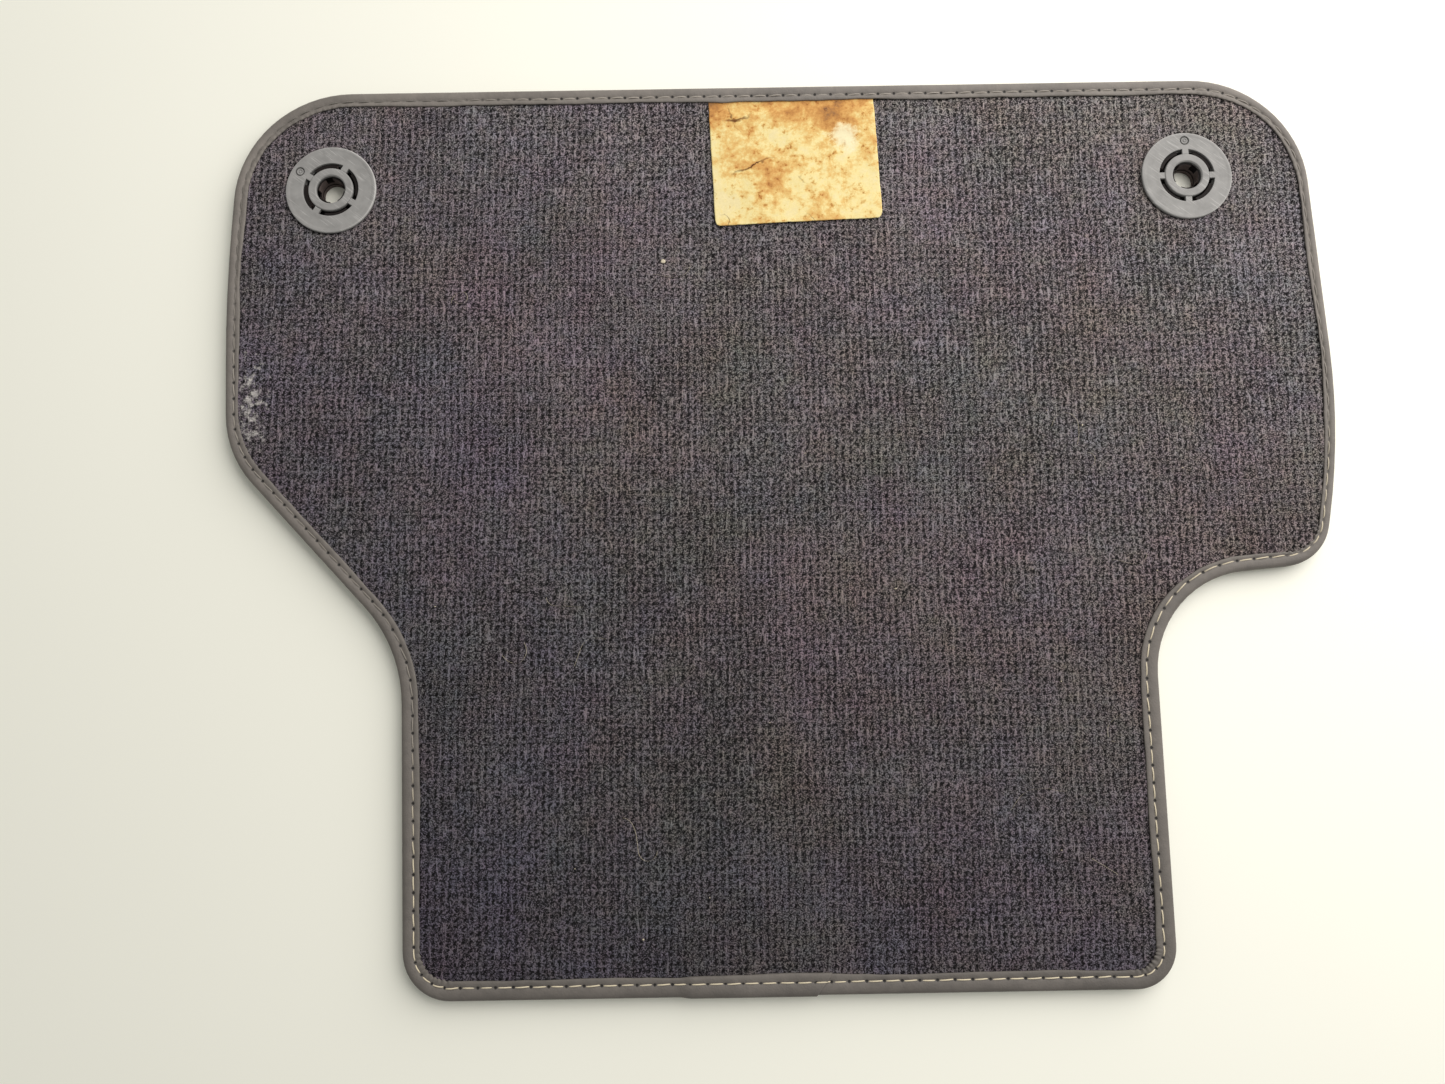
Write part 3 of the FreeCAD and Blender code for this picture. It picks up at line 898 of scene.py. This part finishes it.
def make_backing(edge, sizes, colours):
    """The backing cloth: ribs and pits at the tufting gauge, cut under the binding and clips."""
    trim = edge_inset(edge, 0.45)
    hole = 15.2 * MM
    flat, faces = cloth_points(edge, sizes, sizes.gauge / 2, trim, hole)
    wobble_u = slow_waves(flat, 0.019, 3.3) * 0.22 + slow_waves(flat, 0.07, 5.1) * 0.35
    wobble_v = slow_waves(flat, 0.019, 9.7) * 0.22 + slow_waves(flat, 0.07, 7.9) * 0.35
    flat_u, flat_v = rows_at(flat[:, 0], flat[:, 1], sizes)
    u, v = flat_u + wobble_u, flat_v + wobble_v
    groove = 0.5 + 0.5 * np.cos(2 * np.pi * u)
    pit = (0.5 + 0.5 * np.cos(2 * np.pi * (u - 0.5))) * (0.5 + 0.5 * np.cos(2 * np.pi * (v - 0.5)))
    rng = np.random.default_rng(11)
    lift = sizes.rib_height * (0.3 * groove - pit + 0.2 * rng.normal(size=len(flat)))
    swell = 0.35 * MM * slow_waves(flat, 0.06, 1.7)
    height = edge.backing_top + lift + swell
    # The binding's seam pulls the cloth down; the clips press it, so that it rises round them.
    tree = kdtree.KDTree(len(edge.points))
    inner = edge_inset(edge, 1.0)
    for i, (x, y) in enumerate(inner):
        tree.insert((x, y, 0), i)
    tree.balance()
    away = np.array([tree.find((x, y, 0))[2] for x, y in flat])
    within = inside(flat, inner[::4])
    signed = np.where(within, away, -away)
    label_low, label_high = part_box("label")
    by_label = np.clip((label_high[0] + 8 * MM - flat[:, 0]) / (6 * MM), 0, 1)
    by_label *= np.clip((flat[:, 0] - label_low[0] + 8 * MM) / (6 * MM), 0, 1)
    by_label *= flat[:, 1] > label_low[1]
    reach = (5 + 4 * by_label) * MM
    height -= (0.25 + 0.35 * by_label) * MM * np.clip(1 - signed / reach, 0, 1)
    for centre in clip_centres():
        out = np.hypot(*(flat - centre).T) / MM
        rise = 0.55 * np.exp(-(((out - 24.5) / 3.2) ** 2)) - 0.35 * (out < 22)
        height += rise * MM
        under_disc = out < 21.6
        height[under_disc] = np.minimum(height[under_disc], edge.backing_top)
    points = np.column_stack([flat, height])
    piece = new_piece("backing_cloth", points, faces, np.stack([u, v], axis=1))
    finish_piece(piece, woven_backing(colours), "mat", "backing", "backing_fabric")
    return piece


def make_pile(edge, sizes, colours):
    """Velour: the tuft tips on the ground, and the pile's side down to the binding and clips."""
    low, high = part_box("pile_carpet")
    trim = edge_inset(edge, 1.0, 0.3 * MM)
    hole = 19.4 * MM
    flat, faces = cloth_points(edge, sizes, sizes.pile * 1.1, trim, hole)
    rng = np.random.default_rng(5)
    tips = low[2] + 0.55 * MM * rng.random(len(flat)) ** 2
    count = len(flat)
    points = np.vstack(
        [np.column_stack([flat, tips]), np.column_stack([flat, np.full(count, high[2])])]
    )
    sides = {(a, b): True for face in faces for a, b in zip(face, np.roll(face, -1))}
    walls = [(a, b, b + count, a + count) for a, b in sides if (b, a) not in sides]
    sheet = [tuple(face[::-1]) for face in faces] + [tuple(face + count) for face in faces]
    piece = new_piece("velour_pile", points, sheet + walls)
    finish_piece(piece, velour(sizes, colours), "mat", "pile", "pile_carpet")
    return piece


# Where the seam runs across the binding: its distance in from the fold, as a share of the width.
SEAM = 0.66


def strip_underside():
    """Height of the binding's lower leg, which has pressed the pile down."""
    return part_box("primary_backing")[0][2] - 3.6 * MM


def strip_section(width, low, top):
    """Outer skin of the folded strip: distance in from the edge and height, for each width.

    It runs from the upper leg's inner edge over the fold to the lower leg's. Share is the distance
    in, as a share of the width; rise is height above the top and fall above the underside, in mm."""
    w = width[:, None]
    share = [1.0, 0.985, 0.95, 0.86, 0.76, 0.70, SEAM, 0.62, 0.56, 0.46, 0.35, 0.24, 0.14, 0.065,
             0.02, 0.0, 0.0, 0.02, 0.07, 0.16, 0.30, 0.45, 0.57, SEAM, 0.75, 0.9, 1.0]
    rise = [-0.62, -0.22, -0.06, -0.02, -0.10, -0.28, -0.38, -0.27, -0.05, 0.12, 0.17, 0.10, -0.14,
            -0.62, -1.35, -2.3]
    fall = [2.2, 1.35, 0.72, 0.25, 0.02, 0.0, 0.08, 0.22, 0.08, 0.0, 0.45]
    across = w * np.array(share)[None]
    heights = np.array([top + r * MM for r in rise] + [low + f * MM for f in fall])[None] * np.ones_like(w)
    return across, heights


def make_binding(edge, sizes, colours):
    """The binding: one strip folded over the edge all the way round, its ends overlapped."""
    low = strip_underside()
    top = edge.backing_top + sizes.strip
    lap = sizes.overlap
    total = edge.length + lap
    count = int(total / (0.8 * MM))
    along = np.linspace(0, total, count)
    _, _, width, bend = edge.at(along)
    across, heights = strip_section(width, low, top)
    columns = across.shape[1]
    share = across / width[:, None]
    upper = heights > (top + low) / 2
    loop = edge.length
    stitches = round(loop / sizes.stitch)
    phase = along * stitches / loop
    # The thread pulls the leatherette down between the holes and gathers its inner edge.
    pull = 0.5 - 0.5 * np.cos(2 * np.pi * phase)
    near_seam = np.exp(-(((share - SEAM) / 0.14) ** 2))
    heights += np.where(upper, 1, -1) * 0.16 * MM * near_seam * (pull[:, None] - 0.6)
    flap = np.clip((share - 0.72) / 0.28, 0, 1)
    curl = 0.10 * wander(along, 26 * MM, loop, 21) + 0.06 * np.sin(2 * np.pi * phase + 0.7)
    heights += np.where(upper, 1, 0) * flap * (curl[:, None] * MM)
    # Gathers: on an outward corner the inner flap has too much length, and puckers.
    gather = np.clip(bend * 0.02, 0, 1)[:, None]
    folds = np.sin(2 * np.pi * along / (3.4 * MM) + 1.5 * wander(along, 9 * MM, loop, 4))[:, None]
    heights += np.where(upper, 1, 0) * gather * flap * folds * 0.5 * MM
    across = across + np.where(upper, 1, 0) * gather * flap * folds * 0.45 * MM
    edge_wave = 0.28 * wander(along, 45 * MM, loop, 8) + 0.10 * wander(along, 11 * MM, loop, 9)
    across = across + flap * edge_wave[:, None] * MM
    bulge = 0.12 * wander(along, 30 * MM, loop, 15)[:, None] * MM
    heights += np.where(upper, 1, 0) * (1 - flap) * bulge * np.clip(share * 4, 0, 1)
    # The last stretch lies over the first: it rides up by its own thickness.
    ride = np.clip((along - loop + 5 * MM) / (6 * MM), 0, 1)
    ride = (ride * ride * (3 - 2 * ride))[:, None] * 0.62 * MM
    slope_in = np.gradient(across, axis=1)
    slope_up = np.gradient(heights, axis=1)
    size = np.hypot(slope_in, slope_up) + 1e-12
    out_in, out_up = slope_up / size, -slope_in / size
    across = across + out_in * ride
    heights = heights + out_up * ride
    # The end is cut on a slant.
    slant = np.clip((along - total + 16 * MM) / (16 * MM), 0, 1)[:, None]
    shifted = along[:, None] + slant * (share - 0.5) * 7 * MM
    place, inward, _, _ = edge.at(np.clip(shifted, 0, total + 8 * MM))
    flat = place + inward * across[..., None]
    skin = np.concatenate([flat, heights[..., None]], axis=2)
    # The strip's inside face, a little under its skin.
    under_in, under_up = across - out_in * sizes.strip, heights - out_up * sizes.strip
    inner_flat = place + inward * under_in[..., None]
    core = np.concatenate([inner_flat, under_up[..., None]], axis=2)[:, ::-1]
    ring = np.concatenate([skin, core], axis=1)
    points = ring.reshape(-1, 3)
    rows = ring.shape[1]
    faces = grid_faces(count, rows, close_columns=True)
    faces.append(tuple(range(rows))[::-1])
    faces.append(tuple((count - 1) * rows + j for j in range(rows)))
    seam_across = (share - SEAM) * width[:, None] / MM
    side = np.where(upper, 0, 40.0)
    u = np.repeat(phase[:, None], columns, axis=1)
    v = seam_across + side
    uv = np.stack([u, v], axis=2)
    uvs = np.concatenate([uv, uv[:, ::-1]], axis=1).reshape(-1, 2)
    piece = new_piece("folded_binding", points, faces, uvs)
    finish_piece(piece, leatherette(colours), "mat", "binding", "edge_binding")
    return piece


def stitch_tubes(edge, sizes, height, sign, seed):
    """Lockstitch: one short arched strand from each needle hole to the next."""
    loop = edge.length
    stitches = round(loop / sizes.stitch)
    pitch = loop / stitches
    rng = np.random.default_rng(seed)
    around, runs = 7, 13
    points, faces, uvs = [], [], []
    for k in range(stitches):
        start = k * pitch
        t = np.linspace(0, 1, runs)
        s = start + pitch * (0.03 + 0.94 * t)
        place, inward, width, _ = edge.at(s)
        lean = rng.normal(0, 0.10) + 0.16
        offset = width * SEAM + (t - 0.5) * 2 * lean * MM + 0.06 * MM * rng.normal()
        arch = np.sin(np.pi * t) ** 0.45
        lift = (-1.1 * (1 - arch) + 0.14 * arch + 0.04 * rng.normal()) * MM
        doubled = 0.6 * MM if start < sizes.overlap and start + pitch > 0 else 0.0
        radius = sizes.thread / 2 * (0.82 + 0.30 * np.sin(np.pi * t) ** 0.6)
        centre_z = np.maximum(height + sign * (lift + doubled), radius)
        first = len(points)
        for i in range(runs):
            centre = np.array([*(place[i] + inward[i] * offset[i]), centre_z[i]])
            side = np.array([*inward[i], 0.0])
            for j in range(around):
                angle = 2 * np.pi * j / around
                around_it = side * math.cos(angle) + np.array([0, 0, 0.8 * math.sin(angle)])
                points.append(centre + around_it * radius[i])
                uvs.append((t[i] * pitch / MM * 0.9, j / around * 2.0))
        faces += [tuple(first + q for q in face) for face in grid_faces(runs, around, False, True)]
        faces.append(tuple(first + j for j in range(around))[::-1])
        faces.append(tuple(first + (runs - 1) * around + j for j in range(around)))
    return points, faces, uvs


def make_threads(edge, sizes, colours):
    """The needle thread on the backing and the bobbin thread on the pile side."""
    material = twisted_thread(colours)
    top = edge.backing_top + sizes.strip - 0.22 * MM
    low = strip_underside() + 0.1 * MM
    for name, node, height, sign, seed in (
        ("needle_stitches", "needle_thread", top, 1, 31),
        ("bobbin_stitches", "bobbin_thread", low, -1, 32),
    ):
        piece = new_piece(name, *stitch_tubes(edge, sizes, height, sign, seed))
        finish_piece(piece, material, "mat", "thread", node)


def make_label(sizes, colours):
    """The label: a thin crinkled sheet whose top is sewn under the binding."""
    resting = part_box("label")[0][2]
    joint = next(j for j in frame["record"]["behaviour"]["joints"] if j["name"] == "label_lift")
    hinge = Vector(joint["pos_m"])
    skew = math.radians(3.2)
    width, drop, sewn = 78.0 * MM, 60.0 * MM, 3.0 * MM
    columns, rows = 155, 129
    corner = 2.6 * MM
    s = np.linspace(-width / 2, width / 2, columns)
    t = np.linspace(-drop, sewn, rows)
    across, up = np.meshgrid(s, t, indexing="xy")
    # Rounded lower corners and a slightly torn lower edge.
    over = np.clip(np.abs(across) - (width / 2 - corner), 0, corner)
    lowest = -drop + corner - np.sqrt(corner**2 - over**2)
    ragged = np.array([noise.noise(Vector((x * 900, 4.2, 0))) for x in s]) * 0.35 * MM
    lowest = lowest + ragged[None] * (np.abs(across) < width / 2 - corner)
    up = np.maximum(up, lowest)
    side_wave = np.array([noise.noise(Vector((y * 160, 8.8, 0))) for y in t]) * 0.35 * MM
    across = across + side_wave[:, None] * (across / (width / 2)) ** 3
    x = hinge.x + across * math.cos(skew) - up * math.sin(skew)
    y = hinge.y + across * math.sin(skew) + up * math.cos(skew)
    free = np.clip(-up / drop, 0, 1)
    curl = 0.9 * MM * free**2 * (0.55 + 0.45 * np.cos(2 * np.pi * (across / width + 0.12)))
    crinkle = np.array(
        [noise.noise(Vector((px * 60, py * 60, 2.0))) for px, py in zip(x.ravel(), y.ravel())]
    ).reshape(x.shape)
    fine = np.array(
        [noise.noise(Vector((px * 230, py * 230, 6.0))) for px, py in zip(x.ravel(), y.ravel())]
    ).reshape(x.shape)
    # It comes up from under the binding and then lies on the cloth.
    rise = np.clip(-up / (7 * MM), 0, 1)
    rise = rise * rise * (3 - 2 * rise)
    loose = 0.15 * MM + curl + 0.42 * MM * crinkle * np.sqrt(free) + 0.10 * MM * fine
    z = resting + rise * np.maximum(loose, 0.02 * MM) - (1 - rise) * 0.62 * MM
    top_points = np.stack([x, y, z + sizes.paper / 2], axis=2).reshape(-1, 3)
    under = np.stack([x, y, z - sizes.paper / 2], axis=2).reshape(-1, 3)
    count = rows * columns
    faces = grid_faces(rows, columns)
    flipped = [tuple(i + count for i in face[::-1]) for face in faces]
    rim = list(range(columns))
    rim += [i * columns + columns - 1 for i in range(1, rows)]
    rim += [(rows - 1) * columns + i for i in range(columns - 2, -1, -1)]
    rim += [i * columns for i in range(rows - 2, 0, -1)]
    walls = [(b, a, a + count, b + count) for a, b in zip(rim, rim[1:] + rim[:1])]
    uv = np.stack([across / width + 0.5, (up + drop) / drop], axis=2).reshape(-1, 2)
    piece = new_piece(
        "paper_label", np.vstack([top_points, under]), faces + flipped + walls, np.vstack([uv, uv])
    )
    piece.data.materials.append(stained_paper(colours))
    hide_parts("label", "label_edge")
    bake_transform(piece)
    return piece


def joined(pieces):
    """Points and faces of several meshes as one."""
    points, faces = [], []
    for some_points, some_faces in pieces:
        start = sum(len(p) for p in points)
        points.append(np.asarray(some_points, float))
        faces += [tuple(i + start for i in face) for face in some_faces]
    return np.vstack(points), faces


def turned_ring(profile, centre, sides=180):
    """A closed section of radius and height, turned about a clip's axis."""
    angles = np.linspace(0, 2 * np.pi, sides, endpoint=False)
    section = np.array(profile) * MM
    points = [
        (centre[0] + r * math.cos(a), centre[1] + r * math.sin(a), z)
        for a in angles for r, z in section
    ]
    return points, grid_faces(sides, len(section), True, True)


def rounded_off(inside_by, radius):
    """How far a rounded edge has dropped at a distance in from the side."""
    short = np.clip(radius - inside_by, 0, radius)
    return radius - np.sqrt(radius**2 - short**2)


def make_back_disc(side, material):
    """A clip's back half: hub, four slots between webs, dished plate, ejector mark, collar."""
    node = side + "_back_disc"
    low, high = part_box(node)
    centre = np.array([(low[0] + high[0]) / 2, (low[1] + high[1]) / 2])
    rim = (high[0] - low[0]) / 2 / MM
    # Radii and thicknesses in millimetres.
    mouth, hub, slot, web, mark_at = 6.7, 10.4, 12.9, 3.0, 17.2
    hub_proud, plate = 0.3, 1.6
    collar_inside, collar_outside, collar_foot = 12.35, 14.1, 4.6
    top = high[2] / MM - hub_proud
    bottom = top - plate
    rows = np.concatenate([
        mouth + np.array([0, 0.1, 0.2, 0.32, 0.44, 0.55, 0.7, 1.2, 1.9, 2.5, 3.0]),
        hub - np.array([0.5, 0.4, 0.28, 0.16, 0.07, 0.02, 0.0]),
        np.linspace(hub + 0.15, slot - 0.15, 12),
        slot + np.array([0, 0.04, 0.1, 0.2, 0.35, 0.7, 1.2, 1.7]),
        np.arange(mark_at - 2.3, mark_at + 2.3, 0.17),
        rim - np.array([1.3, 1.0, 0.7, 0.6, 0.5, 0.4, 0.28, 0.17, 0.08, 0.02, 0.0]),
    ])
    web_columns, slot_columns = 24, 46
    angles = []
    for r in rows:
        half = math.asin(web / 2 / min(max(r, hub - 0.6), slot + 0.4))
        around = []
        for quarter in range(4):
            start = math.radians(FIRST_WEB[side] + 90 * quarter)
            around += [start - half + 2 * half * k / web_columns for k in range(web_columns)]
            gap = math.pi / 2 - 2 * half
            share = 0.5 - 0.5 * np.cos(np.pi * np.arange(slot_columns) / slot_columns)
            around += list(start + half + gap * share)
        angles.append(around)
    angles = np.array(angles)
    r = rows[:, None] * np.ones_like(angles)
    height = np.full_like(r, top)
    # The hub stands proud, with a chamfered mouth and a rounded shoulder.
    on_hub = r <= hub
    height += np.where(on_hub, hub_proud, 0)
    height -= np.where(on_hub, np.clip(mouth + 0.5 - r, 0, 0.5) + rounded_off(hub - r, 0.5), 0)
    # Slots have slightly rounded lips.
    quarter_angle = (angles - math.radians(FIRST_WEB[side]) + math.pi / 4) % (math.pi / 2) - math.pi / 4
    from_web = np.abs(r * np.sin(quarter_angle)) - web / 2
    across_gap = (r > hub - 1e-6) & (r < slot + 1e-6)
    height -= np.where(across_gap, rounded_off(np.clip(-from_web, 0, 9), 0.16), 0)
    beside_slot = (r >= slot - 1e-6) & (from_web > -1e-6)
    height -= np.where(beside_slot, rounded_off(r - slot, 0.2), 0)
    # The plate is dished a little inside its rounded rim.
    height -= 0.10 * np.clip((r - 13.6) / 1.5, 0, 1) * np.clip((rim - 1.3 - r) / 0.7, 0, 1)
    height -= rounded_off(rim - r, 0.6)
    # Ejector mark: a shallow round with a deeper line at its edge.
    mark_angle = math.radians(FIRST_WEB[side] + 90)
    x, y = r * np.cos(angles), r * np.sin(angles)
    off_mark = np.hypot(x - mark_at * math.cos(mark_angle), y - mark_at * math.sin(mark_angle))
    height -= 0.12 * (off_mark < 1.8) + 0.55 * np.exp(-(((off_mark - 1.85) / 0.2) ** 2))
    height -= 0.30 * np.exp(-(((off_mark - 0.75) / 0.22) ** 2))
    flat = np.stack([centre[0] + x * MM, centre[1] + y * MM], axis=2)
    upper = np.concatenate([flat, height[..., None] * MM], axis=2).reshape(-1, 3)
    lower = np.concatenate([flat, np.full_like(height, bottom)[..., None] * MM], axis=2)
    lower = lower.reshape(-1, 3)
    # The rim is painted paler; painted shade darkens the ejector mark's outer groove and inner ring.
    pale_rim_and_shade = np.exp(-(((rim - r) / 0.4) ** 2)) - 1.3 * np.exp(-(((off_mark - 1.85) / 0.28) ** 2))
    pale_rim_and_shade -= 0.35 * (off_mark < 1.8) * np.exp(-(((off_mark - 0.75) / 0.3) ** 2))
    columns = angles.shape[1]
    count = len(upper)
    first_gap = int(np.argmin(np.abs(rows - hub)))
    last_gap = int(np.argmin(np.abs(rows - slot)))
    faces = []
    for a, b, c, d in grid_faces(len(rows), columns, close_columns=True):
        row, column = divmod(a, columns)
        in_gap = first_gap <= row < last_gap and column % (web_columns + slot_columns) >= web_columns
        if not in_gap:
            faces.append((a, d, c, b))
    sides = {(a, b) for face in faces for a, b in zip(face, face[1:] + face[:1])}
    walls = [(b, a, a + count, b + count) for a, b in sides if (b, a) not in sides]
    under = [tuple(i + count for i in face[::-1]) for face in faces]
    collar = turned_ring(
        [(collar_inside, collar_foot), (collar_inside, 6.95), (collar_inside + 0.05, 7.0), (slot, 7.0),
         (slot, bottom), (collar_outside, bottom), (collar_outside, collar_foot)],
        centre,
    )
    points, faces = joined([(np.vstack([upper, lower]), faces + walls + under), collar])
    uvs = np.zeros((len(points), 2))
    uvs[:, 0] = -0.9  # painted shade on the underside, the slot, hub and rim walls and the collar
    uvs[:count, 0] = pale_rim_and_shade.ravel()
    piece = new_piece(side + "_clip_back", points, faces, uvs)
    piece.data.set_sharp_from_angle(angle=math.radians(38))
    finish_piece(piece, material, side + "_clip", "clip_back", node)


def make_lint(edge):
    """Hairs and crumbs caught on the cloth."""
    rng = np.random.default_rng(77)
    line = edge_inset(edge, 1.0, 9 * MM)[::4]
    low, high = line.min(0), line.max(0)
    places = rng.uniform(low, high, (400, 2))
    places = places[inside(places, line)]
    label_low, label_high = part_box("label")
    clear = np.ones(len(places), bool)
    for centre in clip_centres():
        clear &= np.hypot(*(places - centre).T) > 30 * MM
    on_label = (places > np.array(label_low[:2]) - 0.02) & (places < np.array(label_high[:2]) + 0.02)
    places = places[clear & ~on_label.all(axis=1)]
    rest = edge.backing_top + 0.12 * MM
    hairs, crumbs = [], []
    for place in places[:13]:
        steps = int(rng.integers(14, 34))
        heading, turn = rng.uniform(0, 2 * np.pi), rng.normal(0, 0.08)
        path = [place]
        for _ in range(steps):
            turn += rng.normal(0, 0.05)
            heading += turn * 0.8
            path.append(path[-1] + 0.9 * MM * np.array([math.cos(heading), math.sin(heading)]))
        path = np.array(path)
        if not inside(path, line).all():
            continue
        radius = 0.07 * MM
        points = []
        for k, (x, y) in enumerate(path):
            lift = rest + 0.15 * MM * (1 + math.sin(0.7 * k))
            for corner in range(5):
                angle = 2 * np.pi * corner / 5
                points.append((x + radius * math.cos(angle), y + radius * math.cos(angle) * 0.3,
                               lift + radius * math.sin(angle)))
        hairs.append((points, grid_faces(len(path), 5, False, True)))
    for place in places[13:75]:
        size = MM * 0.16 * float(np.exp(rng.normal(0, 0.45)))
        shape = bmesh.new()
        bmesh.ops.create_icosphere(shape, subdivisions=2, radius=size)
        stretch = rng.uniform(0.5, 1.7, 3)
        seed = rng.uniform(0, 50)
        for vert in shape.verts:
            swell = 1 + 0.5 * noise.noise(vert.co / size + Vector((seed, 0, 0)))
            vert.co = Vector(c * s * swell for c, s in zip(vert.co, stretch))
        points = [(v.co.x + place[0], v.co.y + place[1], v.co.z * 0.6 + rest) for v in shape.verts]
        crumbs.append((points, [tuple(v.index for v in f.verts) for f in shape.faces]))
        shape.free()
    lint = hidden_layer("lint_pale", srgb("#c9bfa8"), 3000.0, 0.8)
    for name, shapes in (("lint_hairs", hairs), ("lint_crumbs", crumbs)):
        piece = new_piece(name, *joined(shapes))
        piece.data.materials.append(lint)
        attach(piece, "mat")


def make_clips_and_layers(colours):
    """The clips' back halves, and materials for the CAD nodes that stay."""
    back = moulded_plastic("polypropylene_back_disc", tuple(colours.clip_back), 1.5, 0.62, 1.0)
    for side in FIRST_WEB:
        make_back_disc(side, back)
    # The face halves keep only 0.12 of their colour on faces that look up: painted shade deep in the slots
    # and the hole.
    face = moulded_plastic("polypropylene_face_disc", tuple(colours.clip_face), 1.2, 0.7, 0.12)
    primary = hidden_layer("polypropylene_primary_cloth", srgb("#4b4640"), 900.0, 0.9)
    latex = hidden_layer("latex_compound", srgb("#3b3937"), 500.0, 0.7)
    finishes = {
        "left_face_disc": face,
        "right_face_disc": face,
        "primary_backing": primary,
        "latex_layer": latex,
    }
    for node, material in finishes.items():
        node_object = frame["nodes"][node]
        node_object.data.materials.clear()
        node_object.data.materials.append(material)


# ---------------------------------------------------------------- stage


def make_camera():
    """A wide view from above, tipped a little towards the mat's near edge."""
    distance = 488.5 * MM
    tilt = math.radians(7.74)
    aim = Vector((-24.93 * MM, -12.0 * MM, 4.0 * MM))
    data = bpy.data.cameras.new("camera")
    data.sensor_fit = "HORIZONTAL"
    data.sensor_width = 36.0
    data.lens = 27.03
    data.clip_start = 0.01
    data.dof.use_dof = False
    camera = bpy.data.objects.new("camera", data)
    camera.location = aim + Vector((0, -math.sin(tilt), math.cos(tilt))) * distance
    camera.rotation_euler = (tilt, 0, 0)
    bpy.context.scene.collection.objects.link(camera)
    bpy.context.scene.camera = camera


def area_light(name, place, aim, size, power, tint):
    """A soft light that faces its aim."""
    data = bpy.data.lights.new(name, "AREA")
    data.shape = "RECTANGLE"
    data.size, data.size_y = size
    data.energy = power
    data.color = tint[:3]
    light = bpy.data.objects.new(name, data)
    light.location = place
    light.rotation_euler = (Vector(aim) - Vector(place)).to_track_quat("-Z", "Y").to_euler()
    bpy.context.scene.collection.objects.link(light)


def make_stage(colours):
    """A big window's light, an even room light and the pale table."""
    scene = bpy.context.scene
    scene.view_settings.view_transform = "Standard"
    scene.view_settings.look = "None"
    world = bpy.data.worlds.new("studio")
    world.use_nodes = True
    background = world.node_tree.nodes["Background"]
    background.inputs["Color"].default_value = srgb("#f4f4f0")
    background.inputs["Strength"].default_value = 0.38
    scene.world = world
    area_light("window", (0.68, 0.60, 0.74), (0.08, 0.0, 0), (1.5, 1.5), 23.2, srgb("#fffbf8"))
    half = 3.0
    corners = [(-half, -half, 0), (half, -half, 0), (-half, half, 0), (half, half, 0)]
    floor = new_piece("table_top", corners, grid_faces(2, 2))
    floor.data.materials.append(painted_table(colours))


# ---------------------------------------------------------------- add-on


def settings():
    """The sizes and colours that the panel shows."""
    scene = bpy.context.scene
    return scene.floor_mat_sizes, scene.floor_mat_colours


class FLOORMAT_OT_stage(bpy.types.Operator):
    """Makes the camera, the lights and the pale table"""

    bl_idname = "floor_mat.stage"
    bl_label = "Stage"

    def execute(self, context):
        make_camera()
        make_stage(settings()[1])
        return {"FINISHED"}


class FLOORMAT_OT_backing(bpy.types.Operator):
    """Makes the ribbed backing cloth"""

    bl_idname = "floor_mat.backing"
    bl_label = "Backing"

    def execute(self, context):
        sizes, colours = settings()
        make_backing(Edge(sizes), sizes, colours)
        return {"FINISHED"}


class FLOORMAT_OT_pile(bpy.types.Operator):
    """Makes the velour pile under the mat"""

    bl_idname = "floor_mat.pile"
    bl_label = "Pile"

    def execute(self, context):
        sizes, colours = settings()
        make_pile(Edge(sizes), sizes, colours)
        return {"FINISHED"}


class FLOORMAT_OT_binding(bpy.types.Operator):
    """Makes the folded binding round the mat's edge"""

    bl_idname = "floor_mat.binding"
    bl_label = "Binding"

    def execute(self, context):
        sizes, colours = settings()
        make_binding(Edge(sizes), sizes, colours)
        return {"FINISHED"}


class FLOORMAT_OT_threads(bpy.types.Operator):
    """Makes both threads of the lockstitch"""

    bl_idname = "floor_mat.threads"
    bl_label = "Threads"

    def execute(self, context):
        sizes, colours = settings()
        make_threads(Edge(sizes), sizes, colours)
        return {"FINISHED"}


class FLOORMAT_OT_label(bpy.types.Operator):
    """Makes the paper label"""

    bl_idname = "floor_mat.label"
    bl_label = "Label"

    def execute(self, context):
        make_label(*settings())
        return {"FINISHED"}


class FLOORMAT_OT_lint(bpy.types.Operator):
    """Makes the hairs and crumbs that lie on the cloth"""

    bl_idname = "floor_mat.lint"
    bl_label = "Lint"

    def execute(self, context):
        make_lint(Edge(settings()[0]))
        return {"FINISHED"}


class FLOORMAT_OT_clips(bpy.types.Operator):
    """Gives the snap clips and the hidden layers their materials"""

    bl_idname = "floor_mat.clips"
    bl_label = "Clips and layers"

    def execute(self, context):
        make_clips_and_layers(settings()[1])
        return {"FINISHED"}


OPERATORS = (
    FLOORMAT_OT_stage,
    FLOORMAT_OT_pile,
    FLOORMAT_OT_backing,
    FLOORMAT_OT_binding,
    FLOORMAT_OT_threads,
    FLOORMAT_OT_label,
    FLOORMAT_OT_clips,
    FLOORMAT_OT_lint,
)


class FLOORMAT_PT_panel(bpy.types.Panel):
    """Lists the mat's operators, sizes and colours"""

    bl_label = "Floor Mat"
    bl_space_type = "VIEW_3D"
    bl_region_type = "UI"
    bl_category = "Floor Mat"

    def draw(self, context):
        for operator in OPERATORS:
            self.layout.operator(operator.bl_idname)
        for group in settings():
            for name in group.__annotations__:
                self.layout.prop(group, name)


CLASSES = (FloorMatSizes, FloorMatColours, *OPERATORS, FLOORMAT_PT_panel)


def register():
    for item in CLASSES:
        bpy.utils.register_class(item)
    bpy.types.Scene.floor_mat_sizes = bpy.props.PointerProperty(type=FloorMatSizes)
    bpy.types.Scene.floor_mat_colours = bpy.props.PointerProperty(type=FloorMatColours)


def unregister():
    del bpy.types.Scene.floor_mat_colours
    del bpy.types.Scene.floor_mat_sizes
    for item in reversed(CLASSES):
        bpy.utils.unregister_class(item)


def main():
    register()
    for operator in OPERATORS:
        group, name = operator.bl_idname.split(".")
        getattr(getattr(bpy.ops, group), name)()


if __name__ == "__main__":
    main()
